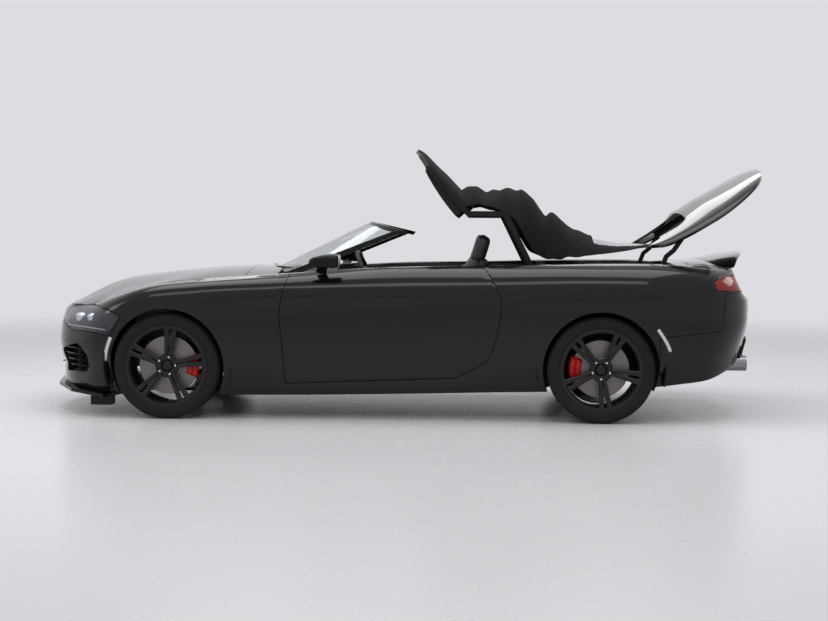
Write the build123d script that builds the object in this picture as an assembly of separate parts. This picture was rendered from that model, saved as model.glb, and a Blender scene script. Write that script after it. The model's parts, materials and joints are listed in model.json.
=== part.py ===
"""Two-door convertible sports car, soft top caught half folded and its storage lid raised.

Millimetres. X forward, Y to the car's left, Z up. The model is drawn about the middle of the
wheelbase on the ground, and moved at the end so that X = 0 is the middle of its overall box.
"""
import math
import os

from build123d import *

os.makedirs("parts", exist_ok=True)

# Driving dimensions
WHEELBASE = 2812
FRONT_REACH = 2335
GAP = 5
LAMP_GAP = 1.5
SKIN = 28

# Wheels
HUB_Z = 345
TYRE_R = 345
BEAD_R = 262
RIM_R = 271
TRACK_HALF = {"front": 800, "rear": 794}
TYRE_W = {"front": 245, "rear": 275}
AXLE_X = {"front": WHEELBASE / 2, "rear": -WHEELBASE / 2}
ARCH_R = 374
WELL_R = 424
WELL_OUT = 892
WELL_IN = {"front": 490, "rear": 625}
LINER_T = 10
KINGPIN_Y = 730
DISC_R = {"front": 190, "rear": 185}
DISC_T = 32
SPOKES = 5
SPOKE_TURN = {"front": 25.6, "rear": 47.0}
NUT_PCD = 120
BORE_R = 33

# Cabin
CABIN_FRONT = 900
CABIN_REAR = -1060
FLOOR_Z = 205
FLOOR_T = 22
CABIN_Y_LOW = 762
CABIN_Y_WAIST = 800
CABIN_Y_BELT = 765

# Panel lines
HOOD_REAR = 900
HOOD_FRONT = 2185
HOOD_T = 34
LAMP_LINE = ((1705, 664), (1890, 729), (2160, 722), (2180, 560), (1955, 560), (1787, 544))
DOOR_LINE = ((613, 1040), (613, 933), (658, 785), (670, 671), (653, 496), (640, 324), (636, 232),
             (-465, 277), (-579, 336), (-682, 395), (-727, 522), (-759, 682), (-764, 796), (-723, 887),
             (-654, 993), (-640, 1040))
LID_FRONT = -1985
LID_HALF = 615

# Half sections of the body, front to rear
# x, bottom z, bottom y, sill y, sill z, waist y, waist z, shoulder y, shoulder z, edge y, edge z, crown z
SECTIONS = (
    (2380, 196, 780, 850, 300, 885, 440, 868, 540, 800, 620, 690),
    (2120, 176, 790, 870, 310, 905, 480, 885, 600, 790, 676, 775),
    (1870, 156, 800, 895, 320, 925, 540, 900, 680, 800, 742, 885),
    (1600, 150, 815, 905, 330, 938, 590, 912, 780, 800, 855, 930),
    (1200, 150, 815, 900, 330, 938, 610, 908, 815, 795, 893, 970),
    (700, 152, 815, 872, 300, 912, 630, 893, 850, 795, 930, 988),
    (0, 165, 812, 868, 300, 905, 650, 888, 890, 800, 985, 1000),
    (-700, 183, 812, 874, 300, 918, 660, 900, 905, 800, 998, 1008),
    (-1400, 205, 820, 915, 330, 948, 680, 925, 900, 812, 1018, 1025),
    (-1950, 240, 800, 905, 370, 935, 660, 900, 880, 790, 1005, 1030),
    (-2480, 300, 770, 860, 430, 885, 620, 850, 800, 740, 955, 1015),
)

# Outline from above: nose and tail arcs, with the corners between them and the sides
NOSE = {"x": 2318, "corner_x": 2085, "corner_y": 680}
NOSE_CORNER = ((2005, 780), (1860, 885))
TAIL = {"x": -2443, "corner_x": -2414, "corner_y": 430}
TAIL_CORNER = ((-2325, 700), (-2180, 845))
PLAN_HALF = 970
# Outline from the side: x, z
SIDE_FRONT = ((2290, 180), (2275, 330), (2318, 540), (2300, 640), (2240, 712))
SIDE_REAR = ((-2330, 1050), (-2318, 858), (-2400, 822), (-2443, 770), (-2443, 540), (-2400, 505), (-2170, 296))


def box(x0, x1, y0, y1, z0, z1):
    """Box between two corners."""
    return Pos((x0 + x1) / 2, (y0 + y1) / 2, (z0 + z1) / 2) * Box(x1 - x0, y1 - y0, z1 - z0)


def side_prism(points, y0, y1):
    """Solid with an outline in X and Z, from y0 to y1."""
    face = make_face(Polyline(*[(x, y0, z) for x, z in points], close=True))
    return extrude(face, y1 - y0, dir=(0, 1, 0))


def plan_prism(points, z0, z1):
    """Solid with an outline in X and Y, from z0 to z1."""
    face = make_face(Polyline(*[(x, y, z0) for x, y in points], close=True))
    return extrude(face, z1 - z0, dir=(0, 0, 1))


def front_prism(points, x0, x1):
    """Solid with an outline in Y and Z, from x0 to x1."""
    face = make_face(Polyline(*[(x0, y, z) for y, z in points], close=True))
    return extrude(face, x1 - x0, dir=(1, 0, 0))


def bar(a, b, r):
    """Round bar between two points."""
    start, end = Vector(*a), Vector(*b)
    plane = Plane(origin=start, z_dir=end - start)
    return extrude(plane * Circle(r), (end - start).length)


def flat_bar(a, b, wide, thick):
    """Flat bar in an X-Z plane from a to b, thick across Y."""
    start, end = Vector(*a), Vector(*b)
    run = (end - start).normalized()
    plane = Plane(origin=start, z_dir=run, x_dir=(0, 1, 0))
    return extrude(plane * Rectangle(thick, wide), (end - start).length)


def both(solid):
    """The solid and its mirror image on the car's other side."""
    return [solid, mirror(solid, about=Plane.XZ)]


def joined(solids):
    """One shape from pieces that touch."""
    result = solids[0]
    for solid in solids[1:]:
        result = result + solid
    return result


def section(row, side, top, bottom):
    """Closed section of the body at one station, drawn in by side, top and bottom."""
    x, zb, yb, ys, zs, yw, zw, yh, zh, ye, ze, zc = row
    yb, ys, yw, yh, ye = (value - side for value in (yb, ys, yw, yh, ye))
    zb, zh, ze, zc = zb + bottom, zh - top / 2, ze - top, zc - top
    edges = [Line((x, -yb, zb), (x, yb, zb)), Line((x, yb, zb), (x, ys, zs)),
             ThreePointArc((x, ys, zs), (x, yw, zw), (x, yh, zh)), Line((x, yh, zh), (x, ye, ze)),
             ThreePointArc((x, ye, ze), (x, 0, zc), (x, -ye, ze)), Line((x, -ye, ze), (x, -yh, zh)),
             ThreePointArc((x, -yh, zh), (x, -yw, zw), (x, -ys, zs)), Line((x, -ys, zs), (x, -yb, zb))]
    return make_face(edges)


def plan_room(side):
    """Tall solid with the car's outline from above, drawn in by the wall."""
    nose_l, nose_r = ((NOSE["corner_x"], y * NOSE["corner_y"]) for y in (1, -1))
    tail_l, tail_r = ((TAIL["corner_x"], y * TAIL["corner_y"]) for y in (1, -1))
    near, far = NOSE_CORNER
    t_near, t_far = TAIL_CORNER
    left = [ThreePointArc(nose_l, near, far), Polyline(far, (1700, PLAN_HALF), (-1900, PLAN_HALF), t_far),
            ThreePointArc(t_far, t_near, tail_l)]
    right = [mirror(edge, about=Plane.XZ) for edge in left]
    ends = [ThreePointArc(nose_r, (NOSE["x"], 0), nose_l), ThreePointArc(tail_l, (TAIL["x"], 0), tail_r)]
    face = make_face(left + right + ends)
    if side:
        face = offset(face, -side, kind=Kind.INTERSECTION)
    return extrude(face, 1300, dir=(0, 0, 1))


def envelope(side, top, bottom):
    """Whole outer form of the lower body, drawn in by the given wall."""
    form = loft([section(row, side, top, bottom) for row in SECTIONS])
    form = form & plan_room(side)
    front = [(x - side, z) for x, z in SIDE_FRONT]
    rear = [(x + side, z) for x, z in SIDE_REAR]
    profile = [(front[0][0], 100)] + front + [(2190, 1200), (rear[0][0], 1200)] + rear + [(-2000, 100)]
    return form & side_prism(profile, -1100, 1100)


outer = envelope(0, 0, 0)
inner = envelope(SKIN, SKIN, SKIN)


def wheel_room(end, radius, y0, y1):
    """Cylinder about one axle on the left side, between two distances from the middle."""
    return bar((AXLE_X[end], y0, HUB_Z), (AXLE_X[end], y1, HUB_Z), radius)


skin = outer - inner
for end in AXLE_X:
    for tool in both(wheel_room(end, ARCH_R, 600, 1100)) + both(wheel_room(end, WELL_R, WELL_IN[end], WELL_OUT)):
        skin = skin - tool

cabin_void = front_prism(
    [(-CABIN_Y_LOW, FLOOR_Z), (CABIN_Y_LOW, FLOOR_Z), (CABIN_Y_WAIST, 640), (CABIN_Y_BELT, 1200),
     (-CABIN_Y_BELT, 1200), (-CABIN_Y_WAIST, 640)], CABIN_REAR, CABIN_FRONT)
door_tool = side_prism(DOOR_LINE, 0, 1000)

nodes = {}


def centre(points):
    """Middle of a list of points."""
    count = len(points)
    return sum(point[0] for point in points) / count, sum(point[1] for point in points) / count


def grown(points, margin):
    """Outline moved outward by about the margin from its middle."""
    cx, cz = centre(points)
    out = []
    for x, z in points:
        reach = math.hypot(x - cx, z - cz)
        scale = (reach + margin) / reach
        out.append((cx + (x - cx) * scale, cz + (z - cz) * scale))
    return out


# Hood, a clamshell that reaches the crest of the wings
HOOD_PLAN = ((HOOD_REAR, 775), (1500, 775), (1800, 745), (2000, 640), (2120, 470), (HOOD_FRONT, 0))


def mirrored_plan(points):
    """Closed outline from half an outline whose last point lies on the middle line."""
    return list(points) + [(x, -y) for x, y in reversed(points[:-1])]


hood_plan = mirrored_plan(HOOD_PLAN)
hood_inner = envelope(0, HOOD_T, 0)
hood_block = plan_prism(hood_plan, 560, 1100)
nodes["hood"] = (outer - hood_inner) & hood_block
hood_gap = plan_prism([(x - 2 * GAP if x < 1000 else x + GAP, y + math.copysign(GAP, y) if y else 0)
                       for x, y in hood_plan], 590, 1100)

# Headlamps, a slice of the corner each side
lamp_left = outer - inner & side_prism(LAMP_LINE, 440, 1000)
lamp_left = lamp_left - hood_gap
nodes["headlamps"] = both(lamp_left)

# Front bumper with its openings
lamp_gap = side_prism(grown(LAMP_LINE, LAMP_GAP), 439.7, 1000)
bumper_zone = side_prism([(1786, 100), (1776, 356), (1772, 540), (1790, 560), (1960, 566), (2150, 566),
                          (2150, 760), (2400, 760), (2400, 100)], -1000, 1000)
bumper = skin & bumper_zone
bumper = bumper - lamp_gap - mirror(lamp_gap, about=Plane.XZ) - hood_gap
GRILLE = (-390, 390, 290, 620)
INTAKE = (545, 800, 285, 470)
grille_cut = front_prism([(-350, GRILLE[2]), (350, GRILLE[2]), (390, 450), (330, GRILLE[3]),
                          (-330, GRILLE[3]), (-390, 450)], 2000, 2400)
intake_cut = front_prism([(545, 285), (770, 300), (800, 400), (760, 470), (560, 420)], 1850, 2400)
bumper = bumper - grille_cut - intake_cut - mirror(intake_cut, about=Plane.XZ)
nodes["front_bumper"] = bumper

# Front wings, from the hood's edge down to the sill, around the front arch
SILL_Y = 762
FRONT_DOOR_EDGE = ((613, 933), (658, 785), (670, 671), (653, 496), (640, 324), (636, 232))
wing_edge = [(x + GAP, z) for x, z in reversed(FRONT_DOOR_EDGE)]
wing_zone = side_prism([(641, 100)] + wing_edge + [(618, 1060), (2200, 1060), (2200, 100)], 440, 1000)
bumper_gap = side_prism([(1781, 50), (1771, 356), (1766, 545), (1787, 566), (1958, 572), (2145, 572),
                         (2145, 765), (2500, 765), (2500, 50)], 400, 1001)
wing = (skin & wing_zone) - bumper_gap - lamp_gap - hood_gap
wing = wing - box(500, 1100, 400, SILL_Y, 0, 600) - box(500, 2300, 400, 620, 0, 560) - box(500, HOOD_REAR + GAP, 400, 745, 700, 1100)
nodes["front_fenders"] = both(wing)

# Side panels: sill, rear quarter and the deck's edge beside the roof well
TAIL_LAMP = ((-2120, 915), (-2142, 858), (-2400, 836), (-2400, 962), (-2210, 950))
WELL_FRONT = -1072
WELL_REAR = -1978
WELL_HALF = 700
WELL_FLOOR = 784
rear_zone = [(-1785, 0), (-1775, 556), (-2180, 600), (-2200, 834), (-2700, 834), (-2700, 0)]
rear_gap = side_prism([(x + GAP, z + GAP if z else 0) for x, z in rear_zone], 0, 1001)
tail_gap = side_prism(grown(TAIL_LAMP, LAMP_GAP), 610, 1001)
SILL_GAP = 2 * GAP
side_edge = [(x - 1.2 * GAP, z - (SILL_GAP if z < 400 else 0.6 * GAP)) for x, z in DOOR_LINE[6:15]]
side_zone = side_prism([(636, 0), (636, 218)] + side_edge + [(-646, 1060), (-2600, 1060), (-2600, 0)], SILL_Y, 1001)
deck_edge = side_prism([(-700, 900), (-700, 1060), (-2600, 1060), (-2600, 860), (-1900, 860)], WELL_HALF, SILL_Y)
side_panel = (skin & side_zone) + (skin & deck_edge)
lid_gap = box(-2700, LID_FRONT + GAP, -LID_HALF - GAP, LID_HALF + GAP, 850, 1200)
side_panel = side_panel - rear_gap - tail_gap - lid_gap
nodes["side_panels"] = both(side_panel)

# Tail lamps
nodes["tail_lamps"] = both((skin & side_prism(TAIL_LAMP, LID_HALF + GAP, 1001)))

# Rear bumper, with a blank pad for the plate
PLATE_HALF = 265
PLATE_Z = (640, 760)
PLATE_HOLES = 178
rear_bumper = skin & side_prism(rear_zone, -1001, 1001)
rear_bumper = rear_bumper - box(-2170, -1700, -700, 700, 0, 350) - box(-2600, -2120, -660, 660, 0, 500)
for side in (-1, 1):
    hole = bar((-2500, side * PLATE_HOLES / 2, 700), (-2350, side * PLATE_HOLES / 2, 700), 3.5)
    rear_bumper = rear_bumper - hole
nodes["rear_bumper"] = rear_bumper

# Boot lid with its lip
LID_T = 36
lid_low = envelope(0, LID_T, 0)
lid = (outer - lid_low) & box(-2700, LID_FRONT, -LID_HALF, LID_HALF, 840, 1200)
lid_back = outer & box(-2700, -2292, -LID_HALF, LID_HALF, 842, 1100)
lip = side_prism([(-2090, 1028), (-2120, 1046), (-2200, 1064), (-2418, 1104), (-2424, 1094), (-2330, 1010)],
                 -LID_HALF, LID_HALF)
lip = lip - box(-2700, -2000, -LID_HALF, LID_HALF, 800, 1010)
nodes["boot_lid"] = lid + lid_back + (lip - outer)

# Doors, whole in thickness, with a flush handle
door = (outer & door_tool) - cabin_void
handle = box(-632, -395, 880, 936, 834, 858)
nodes["door_left"] = door + (handle - outer) & box(-800, 700, 700, 1000, 0, 1100)
nodes["door_right"] = mirror(nodes["door_left"], about=Plane.XZ)

# Door mirrors
mirror_head = Pos(372, 945, 1032) * Box(205, 150, 118)
mirror_head = fillet(mirror_head.edges().filter_by(Axis.X), 34)
mirror_head = chamfer(mirror_head.faces().sort_by(Axis.X)[-1].edges(), 30)
mirror_stalk = side_prism([(430, 890), (340, 890), (345, 985), (420, 985)], 850, 900)
nodes["mirror_left"] = (mirror_head + mirror_stalk) - outer
nodes["mirror_right"] = mirror(nodes["mirror_left"], about=Plane.XZ)

# Splitter, undertray and the strips ahead of the front wheels
splitter_side = side_prism([(930, 128), (1800, 128), (2335, 172), (2335, 192), (1800, 149.7), (930, 149.7)], -1000, 1000)
splitter_plan = mirrored_plan([(930, 400), (1700, 400), (1800, 780), (1830, 880), (2085, 720), (2250, 430), (FRONT_REACH, 0)])
splitter = splitter_side & plan_prism(splitter_plan, 0, 300)
strips = both(box(1795, 1935, 700, 790, 72, 132))
nodes["front_splitter"] = joined([splitter] + strips) - outer

# Grille slats with their posts, in the three front openings
slats = []
for z in range(318, 610, 42):
    slats.append(box(2215, 2245, -366, 366, z, z + 10))
for y in (-366, -180, 0, 180, 354):
    slats.append(box(2205, 2215, y, y + 12, 318, 580))
centre_grille = joined(slats)
SLAT_IN = 640
side_slats = [box(2010, 2040, SLAT_IN, 790, z, z + 10) for z in range(300, 460, 35)]
side_slats += [box(2000, 2010, y, y + 12, 300, 450) for y in (SLAT_IN, 710, 778)]
nodes["grille"] = [piece - nodes["front_bumper"] for piece in [centre_grille] + both(joined(side_slats))]

# Floor with its tunnel and sills
SILL_TOP = 430
SILL_REAR = -975
TRAY_HALF = 620
FIREWALL_X = HOOD_REAR + GAP
PANEL_T = 18
pan = [box(SILL_REAR, FIREWALL_X, -SILL_Y, SILL_Y, FLOOR_Z - FLOOR_T, FLOOR_Z),
       box(CABIN_REAR, SILL_REAR, -TRAY_HALF, TRAY_HALF, FLOOR_Z - FLOOR_T, FLOOR_Z),
       box(CABIN_REAR + PANEL_T, FIREWALL_X, -140, 140, FLOOR_Z, 330)]
pan += both(box(SILL_REAR, FIREWALL_X, 700, SILL_Y, FLOOR_Z, SILL_TOP))
nodes["floor_pan"] = joined(pan)

# Bulkheads at both ends of the cabin, the front one with the rests of the hood
hood_rests = both(box(FIREWALL_X, 925, 600, 699, 850, 1000) & (Pos(0, 0, -0.3) * hood_inner))
firewall = joined([box(FIREWALL_X, FIREWALL_X + 25, -740, 740, 150, 860)] + hood_rests)
rear_wall = [box(CABIN_REAR, CABIN_REAR + PANEL_T, -TRAY_HALF, TRAY_HALF, FLOOR_Z, 860)]
rear_wall += both(box(CABIN_REAR, CABIN_REAR + PANEL_T, TRAY_HALF, SILL_Y, 600, 860))
nodes["bulkheads"] = [firewall, joined(rear_wall)]

# Boot floor with the rear panel and the rests of the boot lid
BOOT_FLOOR_Z = 440
BOOT_REAR = -2345
BOOT_HALF = 600
REST_IN = 572
lid_rests = both(box(-2095, -2065, REST_IN, BOOT_HALF, BOOT_FLOOR_Z, 1100) & (Pos(0, 0, -0.3) * lid_low))
boot_parts = [box(BOOT_REAR, CABIN_REAR, -BOOT_HALF, BOOT_HALF, BOOT_FLOOR_Z - 20, BOOT_FLOOR_Z),
              box(BOOT_REAR, BOOT_REAR + 20, -BOOT_HALF, BOOT_HALF, BOOT_FLOOR_Z, 815)]
nodes["boot_floor"] = joined(boot_parts + lid_rests)

# Front rails, their cross beam and the sleeve for the towing eye in the left corner opening
RAIL_Z = (360, 460)
BEAM_X = (2060, 2095)
TOW = {"y": 585, "z": 395, "r": 8, "wall": 8, "end_x": 2140, "long": 80}
rails = both(box(FIREWALL_X + 25, BEAM_X[0], 400, 460, *RAIL_Z))
beam = box(*BEAM_X, -602, 602, *RAIL_Z)
sleeve = bar((BEAM_X[1], TOW["y"], TOW["z"]), (TOW["end_x"], TOW["y"], TOW["z"]), TOW["r"] + TOW["wall"])
thread = bar((TOW["end_x"] - TOW["long"], TOW["y"], TOW["z"]), (TOW["end_x"], TOW["y"], TOW["z"]), TOW["r"])
nodes["front_rails"] = joined(rails + [beam, sleeve]) - thread

# Windscreen: glass, pillars, header and scuttle
BASE = {"z": 955, "mid_x": 835, "end_x": 600, "end_y": 742}
TOP = {"end_z": 1225, "mid_z": 1283, "mid_x": 165, "end_x": -62, "end_y": 560}
GLASS_T = 8


def screen_section(z_end, z_mid, x_mid, x_end, y_end, back, deep):
    """Curved strip across the car, set back and as deep as told, in its own plane."""
    run = Vector(x_mid - x_end, 0, z_mid - z_end).normalized()

    def arc(offset, reverse=False):
        shift = run * offset
        points = [Vector(x_end, -y_end, z_end) - shift, Vector(x_mid, 0, z_mid) - shift, Vector(x_end, y_end, z_end) - shift]
        return ThreePointArc(*(reversed(points) if reverse else points))

    first, last = arc(back), arc(back + deep, True)
    edges = [first, Line(first @ 1, last @ 0), last, Line(last @ 1, first @ 0)]
    return make_face(edges)


base = (BASE["z"], BASE["z"], BASE["mid_x"], BASE["end_x"], BASE["end_y"])
top = (TOP["end_z"], TOP["mid_z"], TOP["mid_x"], TOP["end_x"], TOP["end_y"])
nodes["windscreen"] = loft([screen_section(*base, 0, GLASS_T), screen_section(*top, 0, GLASS_T)])


def pillar_face(x, y, z, long, wide):
    """Section of a windscreen pillar, level."""
    return Pos(x, y, z) * Rectangle(long, wide)


pillar = loft([pillar_face(655, 741, 930, 110, 36), pillar_face(-80, 583, 1222, 90, 40)])
header_low = screen_section(1212, 1268, 155, -75, 600, -8, 62)
header_high = screen_section(1236, 1295, 140, -95, 600, -2, 56)
header = loft([header_low, header_high])
post = box(681, 760, 700, 760, SILL_TOP, 930)
leaf = box(670.4, 700, 760, 850, 655, 690)
frame_parts = both(pillar) + [header] + both(post) + both(leaf)
nodes["windscreen_frame"] = joined(frame_parts) - nodes["windscreen"]
nodes["front_fenders"] = [half - nodes["windscreen_frame"] for half in nodes["front_fenders"]]
scuttle = loft([screen_section(925, 925, 890, 690, 735, -8, 190), screen_section(947, 947, 885, 690, 735, -6, 190)])
nodes["cowl"] = scuttle - box(-500, 681, -800, 800, 900, 1000) - nodes["windscreen"] - nodes["windscreen_frame"]

# Dashboard and steering wheel
dash_line = ((681, 560), (681, 915), (600, 950), (330, 958), (285, 925), (275, 820), (330, 640), (450, 560))
dash = side_prism(dash_line, -699, 699)
binnacle = side_prism([(330, 950), (330, 1000), (215, 1010), (205, 985), (262, 930)], 235, 485)
console = side_prism([(400, 330), (400, 700), (300, 700), (180, 560), (-520, 540), (-520, 330)], -120, 120)
dash = dash - side_prism([(681, 560), (681, 905), (560, 905), (560, 560)], -640, 640)
nodes["dashboard"] = joined([dash, binnacle, console])
WHEEL_C = (140, 360, 930)
WHEEL_TILT = 24
wheel_plane = Plane(origin=WHEEL_C, z_dir=(-math.cos(math.radians(WHEEL_TILT)), 0, math.sin(math.radians(WHEEL_TILT))),
                    x_dir=(0, 1, 0))
RING_R = 172
GRIP_R = 15
GRIP_SIDES = 8
turns = [2 * math.pi * (index + 0.5) / GRIP_SIDES for index in range(GRIP_SIDES)]
grip = make_face(Polyline(*[(RING_R + GRIP_R * math.cos(a), 0, GRIP_R * math.sin(a)) for a in turns], close=True))
ring = wheel_plane * revolve(grip, Axis.Z)
hub = wheel_plane * Cylinder(62, 44)
spokes = wheel_plane * Box(330, 34, 16) + wheel_plane * Pos(0, 0, 0) * Box(34, 165, 16)
column_end = Vector(*WHEEL_C) - wheel_plane.z_dir * 150
column = bar(WHEEL_C, tuple(column_end), 34)
nodes["steering_wheel"] = (ring + hub + spokes + column) - nodes["dashboard"]

# Seats
SEAT_Y = 365


def front_seat(y):
    """Seat with its side bolsters, back and head restraint."""
    base = side_prism([(150, FLOOR_Z), (170, 300), (210, 470), (-330, 420), (-380, FLOOR_Z)], y - 215, y + 215)
    dish = side_prism([(215, 490), (130, 440), (-330, 395), (-330, 490)], y - 150, y + 150)
    back = side_prism([(-240, 400), (-300, 420), (-545, 985), (-600, 1080), (-700, 1080), (-690, 1000),
                       (-450, 400)], y - 215, y + 215)
    scoop = side_prism([(-200, 430), (-285, 430), (-530, 985), (-460, 1000)], y - 140, y + 140)
    shoulder_l = plan_prism([(-700, y + 130), (-500, y + 215.1), (-500, y + 260), (-760, y + 260)], 960, 1100)
    shoulder_r = plan_prism([(-700, y - 130), (-760, y - 260), (-500, y - 260), (-500, y - 215.1)], 960, 1100)
    rest = side_prism([(-565, 1060), (-590, 1190), (-640, 1208), (-700, 1195), (-700, 1060)], y - 130, y + 130)
    return joined([base, back, rest]) - dish - scoop - (shoulder_l + shoulder_r)


nodes["front_seats"] = [front_seat(SEAT_Y), front_seat(-SEAT_Y)]
rear_line = [(-760, FLOOR_Z), (-720, 440), (-740, 500), (-900, 470), (-1000, 850), (CABIN_REAR + 18, 880),
             (CABIN_REAR + 18, FLOOR_Z)]
nodes["rear_seat"] = both(side_prism(rear_line, 142, 600))

# Engine, radiator and exhaust
nodes["engine"] = box(1000, 1750, -300, 300, 280, 840)
nodes["radiator"] = box(2095, 2150, -340, 340, 240, 620)
silencer = box(-2180, -1900, -420, 420, 290, 420)
pipes = []
for y in (430, 560):
    pipes.append(bar((-2120, y, 368), (-2385, y, 368), 50) - bar((-2200, y, 368), (-2400, y, 368), 44))
pipe_link = box(-2160, -2100, 400, 600, 340, 400)
tips = joined(pipes + [pipe_link])
nodes["exhaust"] = joined([silencer] + both(tips))
diffuser = side_prism([(-2200, 275), (-2390, 375), (-2432, 528), (-2402, 528), (-2372, 395), (-2200, 300)], -350, 350)
diffuser = (diffuser & plan_room(0)) - nodes["rear_bumper"]
nodes["diffuser"] = diffuser

# Roof well
well = box(WELL_REAR, WELL_FRONT, -WELL_HALF, WELL_HALF, WELL_FLOOR - 12, 880)
well = well - box(WELL_REAR + 10, WELL_FRONT - 10, -WELL_HALF + 12, WELL_HALF - 12, WELL_FLOOR, 900)
nodes["roof_well"] = well

# Wheels and what carries them
front_axle = [box(1350, 1460, -460, 460, 200, 280)]
rear_axle = [box(-1480, -1330, -420, 420, 250, 400)]
liners = []
for end, x in AXLE_X.items():
    hub_y = TRACK_HALF[end]
    half = TYRE_W[end] / 2
    flange = half - 12
    tyre_line = [(BEAD_R - 11.7, flange - 4), (RIM_R + 1, flange - 1), (RIM_R + 16, half - 1), (315, half),
                 (TYRE_R, half - 18)]
    tyre_points = [(0, y, r) for r, y in tyre_line] + [(0, -y, r) for r, y in reversed(tyre_line)]
    rim_line = [(235, half - 40), (235, -flange - 9), (RIM_R, -flange - 9), (RIM_R, -flange), (250, -flange),
                (250, flange), (RIM_R, flange), (RIM_R, flange + 9), (245, flange + 9)]
    to_hub = Pos(x, hub_y, HUB_Z)
    spin = Axis((0, 0, 0), (0, 1, 0))
    tyre = to_hub * revolve(make_face(Polyline(*tyre_points, close=True)), spin)
    rim = revolve(make_face(Polyline(*[(0, y, r) for r, y in rim_line], close=True)), spin)
    face_y = flange - 6
    rim_hub = bar((0, 46, 0), (0, face_y, 0), 76) - bar((0, 40, 0), (0, 60, 0), BORE_R)
    spoke = make_face(Polyline((20, 0, 66), (42, 0, 240), (10, 0, 240), (6, 0, 66), close=True))
    spoke = Pos(0, face_y - 26, 0) * extrude(spoke, 28, dir=(0, 1, 0))
    pair = spoke + mirror(spoke, about=Plane.YZ)
    rim = rim + rim_hub
    for index in range(SPOKES):
        turn = 90 - SPOKE_TURN[end] - index * 360 / SPOKES
        rim = rim + Rot(0, -turn, 0) * pair
    rim = to_hub * rim
    disc_line = [(BORE_R, 0), (DISC_R[end], 0), (DISC_R[end], DISC_T), (95, DISC_T), (95, 45.5), (BORE_R, 45.5)]
    disc = to_hub * revolve(make_face(Polyline(*[(0, y, r) for r, y in disc_line], close=True)), spin)
    for side, word in ((1, "left"), (-1, "right")):
        for name, solid in (("tyre", tyre), ("rim", rim), ("disc", disc)):
            nodes[f"{name}_{end}_{word}"] = solid if side == 1 else mirror(solid, about=Plane.XZ)
    spindle = bar((x, 760, HUB_Z), (x, hub_y + 58, HUB_Z), BORE_R - 0.3)
    upright = box(x - 32, x + 32, 700, 760, 225, 545) + bar((x, 755, HUB_Z), (x, 775, HUB_Z), 60)
    behind = -1 if end == "front" else 1
    low, high = sorted((x + behind * 20, x + behind * 130))
    ear = box(low, high, 738, 768, HUB_Z - 35, HUB_Z + 35)
    knuckle = upright + spindle + ear
    caliper = bar((x, 768, HUB_Z), (x, 872, HUB_Z), 224) - bar((x, 760, HUB_Z), (x, 880, HUB_Z), 118)
    low, high = sorted((x + behind * 110, x + behind * 240))
    caliper = caliper & box(low, high, 700, 900, HUB_Z - 95, HUB_Z + 95)
    caliper = caliper - bar((x, hub_y - 5, HUB_Z), (x, hub_y + DISC_T + 5, HUB_Z), DISC_R[end] + 6)
    if end == "front":
        for side, word in ((1, "left"), (-1, "right")):
            for name, solid in (("knuckle", knuckle), ("caliper", caliper)):
                nodes[f"{name}_{word}"] = solid if side == 1 else mirror(solid, about=Plane.XZ)
    else:
        rear_knuckles = both(knuckle)
        nodes["rear_calipers"] = both(caliper)
    liner = wheel_room(end, WELL_R - 0.3, WELL_IN[end], WELL_OUT) - wheel_room(end, WELL_R - LINER_T, WELL_IN[end] - 5, WELL_OUT + 5)
    liner = liner & box(x - 500, x + 500, 0, 1000, 240 if end == "rear" else 205, 900)
    liners += both(liner)
arm = bar((1406, 455, 240), (1406, 705, 206), 16)
ball = box(1380, 1432, 700, 760, 200, 224.7)
strut = bar((1406, 730, 545.3), (1406, 700, 700), 24)
tie = box(1380, 1432, 395, 460, 280, 360)
front_axle += both(arm) + both(ball) + both(tie)
rear_arm = bar((-1406, 415, 300), (-1406, 700, 300), 18)
rear_top = box(-1440, -1372, 380, 420, 400, 420)
nodes["axles"] = [joined(front_axle), joined(rear_axle + both(rear_arm) + both(rear_top) + rear_knuckles)]
nodes["wheel_liners"] = liners

# Folding roof
ROOF_P = (-1000, 920)
ROOF_J1 = (-790, 1345)
ROOF_J2 = (-545, 1345)
RAIL_W = 34
PIN_R = 9
RAIL_Y = {"rear": (662, 686), "mid": (626, 646), "front": (588, 610)}
FRONT_TILT = 48
FRONT_RAIL = 400
FRONT_BOW = 575


def rail(a, b, planes, wide):
    """Rail between two points of an X-Z plane with round ends."""
    y0, y1 = planes
    middle = (y0 + y1) / 2
    straight = flat_bar((a[0], middle, a[1]), (b[0], middle, b[1]), wide, y1 - y0)
    ends = [bar((p[0], y0, p[1]), (p[0], y1, p[1]), wide / 2) for p in (a, b)]
    return joined([straight] + ends)


def pin_hole(p, y0, y1, clear):
    """Pin or its hole across two rails."""
    return bar((p[0], y0, p[1]), (p[0], y1, p[1]), PIN_R + clear)


tilt = math.radians(FRONT_TILT)


def on_front(along, up, y=0):
    """Point of the tilted front section from its pivot."""
    return (ROOF_J2[0] + along * math.cos(tilt) - up * math.sin(tilt), y,
            ROOF_J2[1] + along * math.sin(tilt) + up * math.cos(tilt))


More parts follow.
